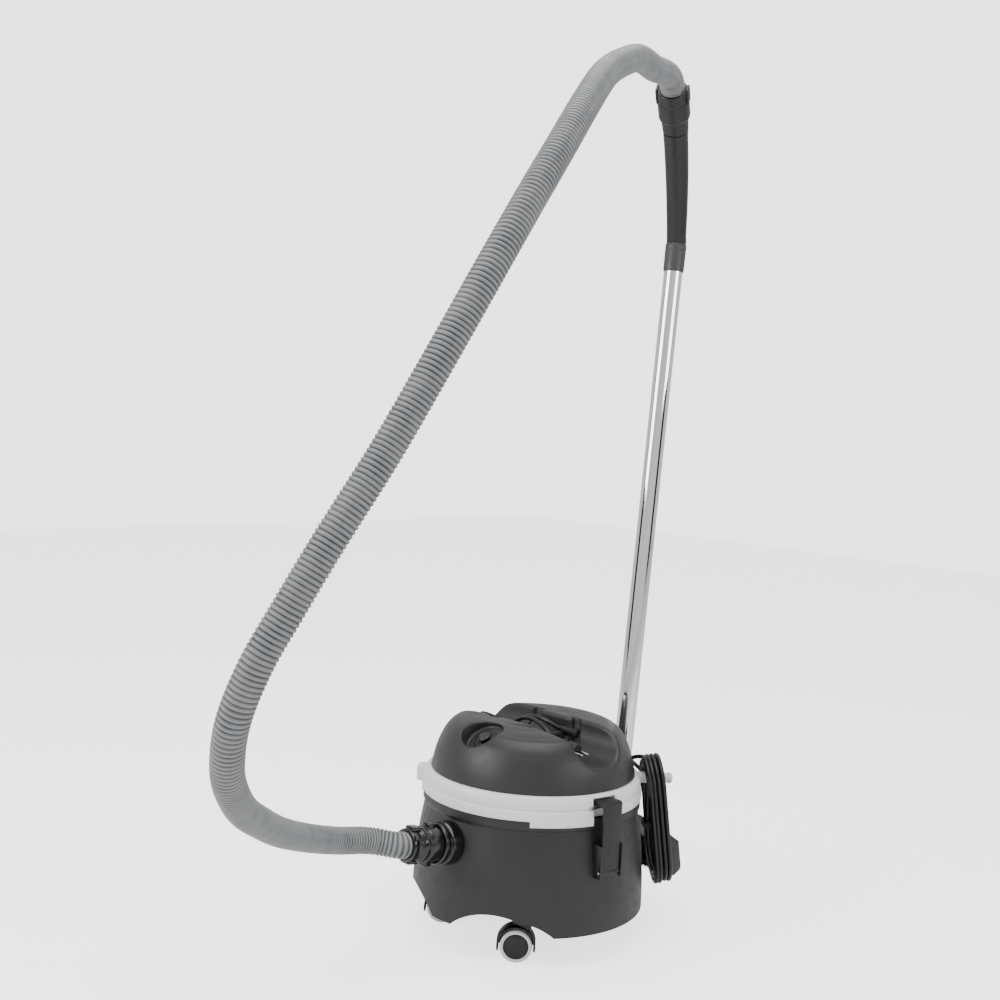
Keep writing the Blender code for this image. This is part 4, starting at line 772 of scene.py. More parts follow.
def skirt_tools():
    """A swivel pocket and an arch for each caster."""
    tools = []
    for name, angle in CASTERS.items():
        front = name.startswith("front")
        half, rise = (0.0740, 0.0300) if front else (0.0520, 0.0300)
        radius = (half ** 2 + rise ** 2) / (2 * rise)
        away = math.copysign(14.5, angle + 90) if front else 0.0
        lay = about("Z", angle - away) @ Matrix.Translation((0, 0, SKIRT_Z + rise - radius)) @ about("Y", 90)
        tools.append(settle(rod(radius, 0.1200, 0.2100, 128, 0), lay))
        pocket = turned([(0, FLOOR_Z - 0.004), (POCKET_R - 0.018, FLOOR_Z - 0.004),
                         (POCKET_R + 0.008, SKIRT_Z), (POCKET_R + 0.008, 0), (0, 0)], 96, radius=0.004)
        tools.append(settle(pocket, Matrix.Translation(caster_place(angle))))
    return tools


def make_tub():
    outer = wall_points()
    inner = [(r - WALL, z) for r, z in outer if 0.09 < z < 0.200][::-1]
    skirt = [(FOOT_R - WALL, SKIRT_Z), (0.1859 - WALL, FLOOR_Z)]
    flange_r = RIM_R - 0.0140
    profile = ([(0, FLOOR_Z + FLOOR_T), (0.1859 - WALL, FLOOR_Z + FLOOR_T)] + inner
               + [(NECK_R - WALL, RIM_Z - 0.0120), (flange_r, RIM_Z - 0.0060), (flange_r, RIM_Z)]
               + outer + skirt + [(0, FLOOR_Z)])
    tub = carve(turned(profile, 180, radius=0.0010), *skirt_tools())
    bosses, sockets = [], []
    for angle in CASTERS.values():
        at = Matrix.Translation(caster_place(angle))
        bosses.append(settle(rod(BOSS_R, BOSS_Z, FLOOR_Z + 0.001, 48), at))
        sockets.append(settle(rod(STEM_R + 0.0005, BOSS_Z - 0.002, FLOOR_Z - 0.0015, 32, 0), at))
    bore = settle(rod(INLET_BORE_R + 0.0023, 0.15, 0.20, 64, 0), TUB.inverted() @ INLET)
    tub = carve(carve(tub, *bosses, operation="UNION"), bore, *sockets)
    return piece("tub", settle(shade(tub, 30.0), TUB), TUB_PLASTIC, "root", "tub_grey", "tub_shell")


make_tub()

# %% [markdown]
# ## The pale ring
# The ring is the machine's bumper and the head's lower half. Its section steps in near the top, has a
# fine groove at mid height, and reaches lower in an apron beside each latch. Each latch sits in a niche,
# over a short rod.

# %% Ring
RING_TOP, RING_R, RING_BORE = 0.2595, 0.1765, 0.1605
HEAD_R = 0.1650
LATCHES = {"right": -6.0, "left": 186.0}
LATCH_HALF, LATCH_TOP = 0.0180, 0.2525
ROD_R, ROD_AT, ROD_Z = 0.0025, 0.1725, 0.2405
RING_LOW = RIM_Z + GAP


def arc(radius, start, stop, steps):
    return [(radius * math.cos(math.radians(start + (stop - start) * i / steps)),
             radius * math.sin(math.radians(start + (stop - start) * i / steps))) for i in range(steps + 1)]


def make_ring():
    profile = [(RING_BORE, RING_TOP), (HEAD_R + 0.0020, RING_TOP), (RING_R - 0.0055, RING_TOP - 0.0012),
               (RING_R - 0.0020, RING_TOP - 0.0070), (RING_R - 0.0016, 0.2410), (RING_R - 0.0036, 0.2398),
               (RING_R - 0.0036, 0.2384), (RING_R - 0.0004, 0.2366), (RING_R, 0.2300), (RING_R, RING_LOW),
               (RING_BORE, RING_LOW)]
    ring = turned(profile, 180, ring=True, radius=0.0022)
    aprons, tools = [], []
    for side, angle in LATCHES.items():
        first = 6.0 if side == "left" else -40.0
        bend = arc(RING_R + 0.0016, first, first + 34, 40) + arc(RIM_R + 0.0006, first + 34, first, 40)
        aprons.append(settle(slab(bend, RING_LOW - 0.0078, RING_LOW + 0.0050, 0.0005), about("Z", angle)))
        reach = LATCH_HALF + 0.0045
        niche = block((0.1650, -reach, 0.2000), (0.2000, reach, LATCH_TOP + 0.0030), 0.0008)
        lay = Matrix.Translation((ROD_AT, 0, ROD_Z)) @ about("X", 90)
        hole = settle(rod(ROD_R + GAP, -reach - 0.0063, reach + 0.0063, 32, 0), lay)
        tools += [settle(niche, about("Z", angle)), settle(hole, about("Z", angle))]
        catch = settle(settle(rod(ROD_R, -reach - 0.006, reach + 0.006, 40), lay), TUB @ about("Z", angle))
        piece(f"catch_rod_finish_{side}", catch, STEEL, "head", "steel", f"catch_rod_{side}")
    tab = settle(block((0.1700, -0.0110, RING_LOW + 0.001), (0.1900, 0.0110, RING_LOW + 0.028), 0.0045, 5),
                 about("Z", 217))
    ring = carve(carve(ring, *aprons, tab, operation="UNION"), *tools)
    hook_way = about("Z", 50) @ Matrix.Translation((0, 0, 0.2490)) @ about("Y", 90)
    hook = turned([(0, 0.2290), (0.0060, 0.2290), (0.0090, 0.2260), (0.0090, 0.2235), (0.0078, 0.2210),
                   (0.0078, 0.1900), (0.0090, 0.1860), (0.0090, 0.1625), (0, 0.1625)], 64, radius=0.0020)
    ring = carve(ring, settle(rod(0.0093, 0.1550, 0.2000, 48, 0), hook_way))
    piece("ring", settle(shade(ring, 30.0), TUB), PALE_PLASTIC, "head", "pale_plastic", "bumper_ring")
    piece("hook", settle(hook, TUB @ hook_way), PALE_PLASTIC, "head", "pale_plastic", "cord_hook")


make_ring()

# %% [markdown]
# ## The motor head
# The head is the one truly sculpted piece: a dome with a hand-deep trough across it, a carrying bar left
# standing in the trough, a tilted dish for the switch, and lips that melt into each other. It is written
# as a distance formula. Each feature is one line, and a smooth maximum with a blend radius makes each lip
# soft.

# %% Head shell
HEAD_TOP, HEAD_WALL = 0.3425, 0.0030
TROUGH_HALF, TROUGH_MID, TROUGH_FLOOR = 0.0500, 0.3460, 0.2940
BAR_HALF, BAR_TOP, BAR_T = 0.0330, 0.3230, 0.0115
DISH_R, DISH_TILT, DISH_DEPTH = 0.0325, 32.0, 0.0100
DISH = TUB @ Matrix.Translation((0, -0.1140, 0.3270)) @ about("X", DISH_TILT)
DOME = [(0.0, 0.0), (0.060, -0.0002), (0.106, -0.001), (0.121, -0.004), (0.133, -0.0095), (0.142, -0.0185),
        (0.150, -0.032), (0.159, -0.056), (0.165, -0.0827), (0.1675, -0.095)]


def dome_table():
    """The dome as radius for each depth below the top, made smooth; dome_field takes its slope for a true
    distance.
    """
    points = route_points([(r, z, 0) for r, z in DOME], 240)
    return np.array([-p.y for p in points]), np.array([p.x for p in points])


DOME_DEPTH, DOME_RADIUS = dome_table()


def dome_field(x, y, z, inset=0.0):
    """Signed distance to the dome: near the middle it is height, and out at the side it is radius."""
    radius = np.sqrt(x * x + y * y)
    depth = HEAD_TOP - z
    side = radius - np.interp(depth, DOME_DEPTH, DOME_RADIUS)
    top = np.interp(radius, DOME_RADIUS, DOME_DEPTH) - depth
    slope_side = np.gradient(DOME_RADIUS, np.maximum(DOME_DEPTH, np.arange(len(DOME_DEPTH)) * 1e-9))
    lean = np.interp(depth, DOME_DEPTH, slope_side)
    lean = np.clip(np.nan_to_num(lean, nan=50.0, posinf=50.0), 0.0, 50.0)
    side_true = side / np.sqrt(1 + lean * lean)
    fall = 1.0 / np.maximum(np.interp(radius, DOME_RADIUS, slope_side), 0.02)
    top_true = top / np.sqrt(1 + np.clip(fall, 0.0, 50.0) ** 2)
    return np.where(np.abs(side_true) < np.abs(top_true), side_true, top_true) + inset


def trough_field(y, z, grow=0.0):
    """Inside the trough is negative: a flat-bottomed U."""
    across = np.abs(y) / (TROUGH_HALF + grow)
    down = np.maximum(TROUGH_MID - z, 0.0) / (TROUGH_MID - TROUGH_FLOOR + grow)
    return ((across ** 2.6 + down ** 2.6) ** (1 / 2.6) - 1.0) * 0.045


def dish_axes(x, y, z):
    """How far a point is from the dish's axis, and how far out along it."""
    t = math.radians(DISH_TILT)
    dy, dz = y + 0.1140, z - 0.3270
    return np.sqrt(x ** 2 + (dy * math.cos(t) + dz * math.sin(t)) ** 2), -dy * math.sin(t) + dz * math.cos(t)


def dish_field(x, y, z, radius, depth):
    """Inside the dish is negative. It is a short round pocket about a tilted axis."""
    across, along_axis = dish_axes(x, y, z)
    return smooth_max(across - radius - 0.18 * np.maximum(along_axis, 0.0), -(along_axis + depth), 0.004)


def head_field(x, y, z):
    outer = dome_field(x, y, z)
    trough = trough_field(y, z)
    beside_bar = BAR_HALF - np.abs(x)
    scoop = smooth_max(trough, beside_bar, 0.006)
    saddle = soft_box(x, y, z, (0, 0, BAR_TOP + 0.03), (BAR_HALF + 0.004, TROUGH_HALF - 0.006, 0.03), 0.004)
    tunnel = soft_box(x, y, z, (0, 0, (TROUGH_FLOOR + 0.0012 + BAR_TOP - BAR_T) / 2),
                      (BAR_HALF + 0.010, 0.0290, (BAR_TOP - BAR_T - TROUGH_FLOOR - 0.0012) / 2), 0.0035)
    recess = smooth_min(smooth_min(scoop, saddle, 0.004), tunnel, 0.003)
    solid = smooth_max(outer, -recess, 0.0060)
    solid = smooth_max(solid, -dish_field(x, y, z, DISH_R, DISH_DEPTH), 0.0040)
    solid = smooth_max(solid, facet_field(x, y, z), 0.0022)
    across, along_axis = dish_axes(x, y, z)
    hole = np.maximum(across - 0.0054, np.abs(along_axis + 0.015) - 0.015)
    solid = np.maximum(solid, -hole)
    solid = np.maximum(solid, -vent_field(x, y, z))
    return np.maximum(solid, (RING_TOP + GAP) - z)


def cavity_field(x, y, z):
    """The room inside the head, which the trough and the dish reach into."""
    room = np.maximum(dome_field(x, y, z, HEAD_WALL), -trough_field(y, z, HEAD_WALL + 0.001))
    room = np.maximum(room, -dish_field(x, y, z, DISH_R + HEAD_WALL, DISH_DEPTH + HEAD_WALL))
    return np.maximum(room, (RING_TOP + GAP) - z)


def facet_field(x, y, z):
    """The facet between dish and trough: a plane that shaves the dome and falls to the front right."""
    normal = Vector(FACET_WAY).normalized()
    return x * normal.x + y * normal.y + (z - FACET_HEIGHT) * normal.z


def vent_field(x, y, z):
    """Five upright slots in the back of the dome; negative inside a slot."""
    radius, bearing = np.sqrt(x * x + y * y), np.degrees(np.arctan2(y, x))
    nearest = np.clip(np.round((bearing - 90.0) / 8.0), -2, 2) * 8.0 + 90.0
    off = radius * np.radians(bearing - nearest)
    return np.maximum(np.maximum(np.abs(off) - 0.0030, np.abs(z - 0.2830) - 0.0150), 0.1300 - radius)


FACET_WAY, FACET_HEIGHT = (0.089, -0.099, 1.0), 0.3518


def open_below(mesh):
    """Takes away the flat underside, which the ring covers."""
    edit = bmesh.new()
    edit.from_mesh(mesh)
    flat = [f for f in edit.faces if all(v.co.z < RING_TOP + GAP + 0.0004 for v in f.verts)]
    bmesh.ops.delete(edit, geom=flat, context="FACES")
    edit.to_mesh(mesh)
    edit.free()
    return mesh


def make_head():
    outside = open_below(skin("head", head_field, (-0.170, -0.170, 0.2570), (0.170, 0.170, 0.3460), 0.0019))
    inside = open_below(skin("cavity", cavity_field, (-0.168, -0.168, 0.2560), (0.168, 0.168, 0.3430),
                             0.0040))
    inside.flip_normals()
    return piece("head_cover", settle(shade(merge(outside, inside), 42.0), TUB), HEAD_PLASTIC, "head",
                 "head_grey", "head_shell")


GLAND_PLACE, GLAND_WAY = Vector((0.0450, 0.0490, 0.3180)), Vector((-0.62, -0.72, 0.30)).normalized()
make_head()

# %% [markdown]
# ## Switch, inlet and hose end
# These are turned pieces. The switch's button stands on a plate in the dish. The hose's bayonet end plugs
# into the flange; its two lugs are what a hand turns to lock it.

# %% Switch


def make_switch():
    floor = -DISH_DEPTH + GAP
    plate = turned([(0.0055, floor + 0.0022), (0.0120, floor + 0.0022), (0.0125, floor + 0.0017),
                    (0.0135, floor + 0.0017), (0.0140, floor + 0.0022), (0.0185, floor + 0.0022),
                    (0.0195, floor + 0.0012), (0.0195, floor), (0.0055, floor)], 96, ring=True, radius=0.0003)
    top = floor + 0.0100
    button = turned([(0, top - 0.0006), (0.0062, top - 0.0004), (0.0070, top), (0.0080, top - 0.0002),
                     (0.0098, top - 0.0016), (0.0098, top - 0.0042), (0.0090, top - 0.0046),
                     (0.0045, top - 0.0046), (0.0045, -DISH_DEPTH - 0.0060), (0, -DISH_DEPTH - 0.0060)], 96,
                    radius=0.0004)
    piece("switch_bezel", settle(plate, DISH), BLACK_PLASTIC, "head", "black_plastic", "switch_plate")
    piece("switch_cap", settle(button, DISH), HEAD_PLASTIC, "switch", "head_grey", "switch_button")


make_switch()

# %% Inlet flange and hose connector
FLANGE_R, CONNECTOR_R = 0.0335, 0.0275


def make_inlet():
    seat, face, front, tube_r = 0.1700, 0.2000, 0.2120, INLET_BORE_R + 0.0020
    flange = turned([(INLET_BORE_R, front), (FLANGE_R - 0.0030, front), (FLANGE_R - 0.0015, front - 0.0015),
                     (FLANGE_R - 0.0015, face + 0.0020), (FLANGE_R - 0.0035, face + 0.0008),
                     (FLANGE_R - 0.0035, face - 0.0010), (FLANGE_R, face - 0.0022), (FLANGE_R, seat),
                     (tube_r, seat), (tube_r, 0.1380), (INLET_BORE_R, 0.1380)], 128, ring=True, radius=0.0009)
    sleeve = turned([(FLANGE_R + 0.004, 0.1985), (FLANGE_R + 0.004, 0.1600), (tube_r - 0.0004, 0.1600),
                     (tube_r - 0.0004, 0.1985)], 128, ring=True, radius=0)
    envelope = settle(tub_envelope(), INLET.inverted() @ TUB)
    flange = carve(flange, carve(sleeve, envelope, operation="INTERSECT"))
    return piece("inlet", settle(flange, INLET), GLOSSY_BLACK, "root", "gloss_black", "inlet_flange")


def make_connector():
    front, inner = CONNECTOR_FACE, 0.0200
    body = turned([(inner + GAP, front + 0.0570), (CONNECTOR_R - 0.0035, front + 0.0570),
                   (CONNECTOR_R - 0.0025, front + 0.0540), (CONNECTOR_R - 0.0038, front + 0.0470),
                   (CONNECTOR_R - 0.0038, front + 0.0400), (CONNECTOR_R - 0.0005, front + 0.0370),
                   (CONNECTOR_R, front + 0.0330), (CONNECTOR_R, front + 0.0290),
                   (CONNECTOR_R - 0.0022, front + 0.0270), (CONNECTOR_R - 0.0022, front + 0.0230),
                   (CONNECTOR_R, front + 0.0210), (CONNECTOR_R, front + 0.0010),
                   (CONNECTOR_R - 0.0010, front), (INLET_BORE_R - 0.0005, front),
                   (INLET_BORE_R - 0.0005, 0.1850), (inner - 0.0010, 0.1850),
                   (inner - 0.0010, front + 0.0250), (inner + GAP, front + 0.0250)],
                  128, ring=True, radius=0.0007)
    knobs = []
    for side in (1, -1):
        lug = block((-0.0085, 0.0225, front + 0.0040), (0.0085, CONNECTOR_R + 0.0055, front + 0.0200),
                    0.0026, 4)
        ear = block((-0.0095, 0.0222, front + 0.0330), (0.0095, CONNECTOR_R + 0.0005, front + 0.0520),
                    0.0016, 3)
        knobs += [settle(one, about("Z", 90 - side * 90)) for one in (lug, ear)]
    body = carve(body, *knobs, operation="UNION")
    return piece("hose_end", settle(body, INLET), GLOSSY_BLACK, "connector", "gloss_black", "hose_connector")


make_inlet()
make_connector()

# %% [markdown]
# ## Latches
# Each latch is a bent lever on a pin. Its foot swings between two cheeks on the tub, and its head hooks
# over the rod in the ring's niche.

# %% Latches
PIN_R, PIN_Z = 0.1915, 0.1450


def make_latch(side, angle):
    place = TUB @ about("Z", angle)
    swing = place @ Matrix.Translation((PIN_R, 0, PIN_Z))
    face, thick = 0.0032, 0.0048
    back, rod_r, rod_z = face - thick, ROD_AT - PIN_R, ROD_Z - PIN_Z
    top, foot, hook = LATCH_TOP - PIN_Z, 0.1370 - PIN_Z, rod_r - ROD_R - 0.0035
    under, lip = rod_z + ROD_R + 0.0008, rod_z + ROD_R - 0.0002
    outline = [(face - 0.0012, foot), (face, foot + 0.0030), (face, top - 0.0030), (face - 0.0030, top),
               (hook + 0.0015, top), (hook, top - 0.0015), (hook, lip), (hook + 0.0030, lip),
               (hook + 0.0032, under), (back, under), (back, foot)]
    lay = Matrix(((1, 0, 0, 0), (0, 0, 1, 0), (0, 1, 0, 0), (0, 0, 0, 1)))
    lever = settle(slab(outline, -LATCH_HALF, LATCH_HALF, 0.0011, 3, corner=0.0016), lay)
    lever.flip_normals()
    knuckle = settle(rod(0.0044, -LATCH_HALF, LATCH_HALF, 48), about("X", 90))
    eye = settle(rod(0.0025, -0.03, 0.03, 32, 0), about("X", 90))
    lever = carve(carve(lever, knuckle, operation="UNION"), eye)
    piece(f"latch_lever_{side}", settle(lever, swing), BLACK_PLASTIC, f"latch_{side}", "black_plastic",
          f"latch_{side}")
    pin = turned([(0, 0.0226), (0.0016, 0.0226), (0.0022, 0.0220), (0.0022, -0.0220), (0.0016, -0.0226),
                  (0, -0.0226)], 40)
    piece(f"latch_pin_finish_{side}", settle(pin, swing @ about("X", 90)), STEEL, "root", "steel",
          f"latch_pin_{side}")
    softened(f"latch_cheeks_{side}", f"latch_bracket_{side}", BLACK_PLASTIC, "root", "black_plastic", 0.0008)


for latch_side, latch_angle in LATCHES.items():
    make_latch(latch_side, latch_angle)

# %% [markdown]
# ## Casters
# Each caster has a hood on a stem and two wheels on one axle, each with a pale tyre and a dark hubcap.
# The swivel joint gives the stem's line and the roll joint gives the axle, so all four come from one
# recipe.

# %% Casters
WHEEL_R, WHEEL_T, SPLIT, HOOD_R, HOOD_T = 0.0250, 0.0125, 0.0032, 0.0300, 0.0028


def sector(radius_out, radius_in, start, stop, steps=40):
    return arc(radius_out, start, stop, steps) + arc(radius_in, stop, start, steps)


def make_caster(name):
    axle = system(spot(f"roll_{name}"), way(f"roll_{name}"), way(f"swivel_{name}"))
    half = SPLIT + WHEEL_T - 0.0010
    crown = slab(sector(HOOD_R, HOOD_R - HOOD_T, -104, 104), -half, half, 0.0007)
    web = slab(arc(HOOD_R - HOOD_T / 2, -90, 90, 30) + arc(0.0085, 90, 270, 12), -SPLIT + 0.0006,
               SPLIT - 0.0006, 0.0003)
    stem_at = axle.inverted() @ Matrix.Translation((spot(f"swivel_{name}").x, spot(f"swivel_{name}").y, 0))
    neck = settle(turned([(0, 0.0790), (0.0053, 0.0790), (0.0053, 0.0600), (0.0085, 0.0597), (0.0098, 0.0585),
                          (0.0105, 0.0500), (0, 0.0500)], 64), stem_at)
    hood = carve(carve(crown, web, neck, operation="UNION"), rod(0.0043, -0.01, 0.01, 32, 0))
    piece(f"hood_{name}", settle(hood, axle), BLACK_PLASTIC, f"hood_{name}", "black_plastic",
          f"caster_hood_{name}")
    outer, tyres, caps = SPLIT + WHEEL_T, [], []
    for side in (1, -1):
        tyre = turned([(0.0195, outer - 0.0003), (0.0215, outer), (WHEEL_R - 0.0022, outer - 0.0002),
                       (WHEEL_R, outer - 0.0024), (WHEEL_R, SPLIT + 0.0015), (WHEEL_R - 0.0015, SPLIT),
                       (0.0195, SPLIT)], 96, ring=True, radius=0.0012)
        cap = turned([(0, outer + 0.0002), (0.0150, outer), (0.0160, outer - 0.0008),
                      (0.0168, outer - 0.0008), (0.0176, outer - 0.0001), (0.0192, outer - 0.0008),
                      (0.0194, outer - 0.0030), (0.0194, SPLIT), (0, SPLIT)], 96, radius=0.0005)
        for mesh, group in ((tyre, tyres), (cap, caps)):
            group.append(settle(mesh, about("X", 90 - side * 90)))
    caps.append(rod(0.0040, -SPLIT - 0.001, SPLIT + 0.001, 32))
    wheel = f"wheel_{name}"
    piece(f"tyre_{name}", settle(merge(*tyres), axle), TYRE_WHITE, wheel, "pale_plastic",
          f"caster_wheel_{name}")
    piece(f"hubcap_{name}", settle(merge(*caps), axle), BLACK_PLASTIC, wheel, "black_plastic",
          f"caster_wheel_{name}")


for caster in CASTERS:
    make_caster(caster)

# %% [markdown]
# ## The wand
# The wand is a chromed tube in a grey sleeve with a bent grip above it. The grip is a sweep whose
# thickness grows towards the hose. The hose's cuff turns in the grip's mouth and is locked by a small
# button.

# %% Wand tube and sleeve


def make_wand():
    tube, wall, foot, top = 0.0160, 0.0012, 0.0040, 0.9540
    pipe = turned([(tube - wall, top), (tube - 0.0003, top), (tube, top - 0.0004), (tube, foot),
                   (tube - wall, foot)],
                  128, ring=True, radius=0)
    piece("chrome_tube", settle(pipe, WAND), CHROME, "wand", "chrome", "wand_tube")
    sleeve_top = top + 0.0120
    low = sleeve_top - 0.0480
    sleeve = turned([(tube + GAP, sleeve_top), (0.0176, sleeve_top), (0.0182, sleeve_top - 0.0040),
                     (0.0182, sleeve_top - 0.0100), (0.0177, sleeve_top - 0.0106),
                     (0.0177, sleeve_top - 0.0116), (0.0182, sleeve_top - 0.0122), (0.0178, low + 0.0030),
                     (0.0172, low), (tube + GAP, low)],
                    128, ring=True, radius=0.0006)
    piece("sleeve", settle(sleeve, WAND), SLEEVE_PLASTIC, "wand", "sleeve_grey", "wand_sleeve")
    neck = turned([(tube + GAP, 0.0440), (0.0195, 0.0440), (0.0201, 0.0380), (0.0195, 0.0100),
                   (0.0260, 0.0060), (0.0260, 0.0), (0.0195, 0.0), (0.0185, 0.0190 - PIVOT_DROP),
                   (0.0145, 0.0150 - PIVOT_DROP), (0.0145, -PIVOT_DROP), (0.0115, -PIVOT_DROP),
                   (0.0115, 0.0037), (tube + GAP, 0.0037)],
                  96, ring=True, radius=0.0008)
    lay = WAND.inverted() @ NOZZLE @ about("Y", 90)
    knuckle = settle(rod(0.0140, -0.0190, 0.0190, 64), lay)
    neck = carve(carve(neck, knuckle, operation="UNION"), rod(0.0090, -PIVOT_DROP - 0.02, 0.001, 48, 0),
                 settle(rod(0.0033, -0.04, 0.04, 32, 0), lay))
    piece("neck", settle(neck, WAND), BLACK_PLASTIC, "wand", "black_plastic", "nozzle_neck")
    return sleeve_top


SLEEVE_TOP = make_wand()

# %% Grip
HANDLE = WAND @ Matrix.Translation((0, 0, SLEEVE_TOP)) @ about("Z", -60.0)


def sweep(points, radii, sides=64):
    """A solid round bar of changing thickness along a path."""
    edit = bmesh.new()
    x_hint, loops = Vector((0, 1, 0)), []
    angles = [2 * math.pi * i / sides for i in range(sides)]
    for index, at in enumerate(points):
        ahead = points[min(index + 1, len(points) - 1)] - points[max(index - 1, 0)]
        frame_here = system(at, ahead, x_hint)
        corners = [Vector((radii[index] * math.cos(a), radii[index] * math.sin(a), 0)) for a in angles]
        loops.append([edit.verts.new(frame_here @ corner) for corner in corners])
    for low_loop, high_loop in zip(loops, loops[1:]):
        for i in range(sides):
            j = (i + 1) % sides
            edit.faces.new((low_loop[i], low_loop[j], high_loop[j], high_loop[i]))
    edit.faces.new(loops[0][::-1])
    edit.faces.new(loops[-1])
    mesh = bpy.data.meshes.new("sweep")
    edit.normal_update()
    edit.to_mesh(mesh)
    edit.free()
    return shade(mesh, 40.0)


def grip_point(share):
    first, last = math.radians(24.0), math.radians(55.0)
    radius, a = 0.2450 / (last - first), math.radians(24.0 + 31.0 * share)
    return Vector((radius * (math.cos(first) - math.cos(a)), 0.0, radius * (math.sin(a) - math.sin(first))))


def make_grip():
    lead = [Vector((0, 0, GAP)), Vector((0, 0, 0.0030)), Vector((0, 0, 0.0051))]
    shares = [0.06 + 0.78 * i / 40 for i in range(41)]
    swell = [0.0168 + 0.0038 * s ** 1.2 + 0.0006 * math.sin(math.pi * min(1.0, s * 1.1))
             for s in np.linspace(0, 1, 41)]
    body = sweep(lead + [grip_point(s) for s in shares], [0.0165, 0.0171, 0.0170] + swell)
    bore_line = [Vector((0, 0, -0.01))] + lead + [grip_point(0.06 + 0.84 * i / 20) for i in range(21)]
    bore = sweep(bore_line, [0.0125] * 25, 40)
    to_mouth = HANDLE.inverted() @ MOUTH
    socket = turned([(0, -0.0130), (0.0205, -0.0130), (0.0215, -0.0140), (0.0222, -0.0170), (0.0219, -0.0240),
                     (0.0212, -0.0248), (0.0212, -0.0262), (0.0217, -0.0270), (0.0205, -0.0460),
                     (0, -0.0460)], 96,
                    radius=0.0008)
    seat = rod(0.0190, -0.0440, 0.001, 64, 0)
    body = carve(carve(body, settle(socket, to_mouth), operation="UNION"), bore, settle(seat, to_mouth))
    return piece("handle", settle(body, HANDLE), BLACK_PLASTIC, "wand", "black_plastic", "grip")


make_grip()

# %% Cuff and its button


def make_cuff():
    inner = 0.0200
    cuff = turned([(inner + GAP, 0.0420), (0.0234, 0.0420), (0.0250, 0.0402), (0.0246, 0.0330),
                   (0.0240, 0.0322), (0.0240, 0.0300), (0.0245, 0.0292), (0.0243, 0.0250), (0.0258, 0.0200),
                   (0.0258, -0.0080), (0.0245, -0.0125), (0.0185, -0.0125), (0.0185, -0.0380),
                   (0.0160, -0.0380), (0.0160, 0.0060), (inner + GAP, 0.0060)], 128, ring=True, radius=0.0008)
    ears = []
    for side in (1, -1):
        ear = block((-0.0090, 0.0222, 0.0180), (0.0090, 0.0268, 0.0450), 0.0018, 4)
        ears.append(settle(ear, about("Z", 90 - side * 90)))
    recess = block((0.0215, -0.0080, 0.0040), (0.0300, 0.0080, 0.0140), 0.0004)
    cuff = carve(carve(cuff, *ears, operation="UNION"), recess)
    piece("cuff_body", settle(cuff, MOUTH), BLACK_PLASTIC, "cuff", "black_plastic", "hose_cuff")
    button = block((0.0236, -0.0075, 0.0045), (0.0275, 0.0075, 0.0135), 0.0012, 4)
    piece("cuff_release_cap", settle(button, MOUTH), BLACK_PLASTIC, "cuff_release", "black_plastic",
          "cuff_button")


make_cuff()

# %% [markdown]
# ## Floor nozzle and parking bracket
# The nozzle hangs from the bracket by its neck. Its brushes are made as tufts: a Geometry Nodes tree
# spreads bristles over the strip, so that the density and the length are two numbers.

# %% Nozzle, pedal and bracket
softened("nozzle_shell", "nozzle_body", BLACK_PLASTIC, "nozzle", "black_plastic", 0.0016)
softened("pedal", "nozzle_pedal", SLEEVE_PLASTIC, "pedal", "sleeve_grey", 0.0007)
softened("bracket", "parking_bracket", BLACK_PLASTIC, "root", "black_plastic", 0.0009)

# %% Bristles


def bristle_tree():
    tree, inside, out = new_tree("bristles", [("Density", "NodeSocketFloat"), ("Length", "NodeSocketFloat"),
                                              ("Thickness", "NodeSocketFloat"), ("Seed", "NodeSocketInt"),
                                              ("Material", "NodeSocketMaterial")])
    dots = node(tree, "GeometryNodeDistributePointsOnFaces", {"Mesh": inside.outputs["Geometry"],
                                                              "Density": inside.outputs["Density"],
                                                              "Seed": inside.outputs["Seed"]})
    hair = node(tree, "GeometryNodeMeshCone", {"Vertices": 4, "Side Segments": 1, "Fill Segments": 1,
                                               "Radius Top": math_node(tree, "MULTIPLY",
                                                                       inside.outputs["Thickness"], 0.5),
                                               "Radius Bottom": inside.outputs["Thickness"],
                                               "Depth": inside.outputs["Length"]})
    splay = node(tree, "FunctionNodeRandomValue", {0: (-0.12, -0.12, 0.0), 1: (0.12, 0.12, 3.1),
                                                   "Seed": inside.outputs["Seed"]}, data_type="FLOAT_VECTOR")
    turn = node(tree, "FunctionNodeRotateRotation", {"Rotation": dots.outputs["Rotation"],
                                                     "Rotate By": splay.outputs["Value"]},
                rotation_space="LOCAL")
    copies = node(tree, "GeometryNodeInstanceOnPoints", {"Points": dots.outputs["Points"],
                                                         "Instance": hair.outputs["Mesh"],
                                                         "Rotation": turn.outputs["Rotation"]})
    both = node(tree, "GeometryNodeJoinGeometry")
    tree.links.new(inside.outputs["Geometry"], both.inputs["Geometry"])
    tree.links.new(copies.outputs["Instances"], both.inputs["Geometry"])
    whole = node(tree, "GeometryNodeRealizeInstances", {"Geometry": both.outputs["Geometry"]})
    painted = node(tree, "GeometryNodeSetMaterial", {"Geometry": whole.outputs["Geometry"],
                                                     "Material": inside.outputs["Material"]})
    tree.links.new(painted.outputs["Geometry"], out.inputs["Geometry"])
    return tree


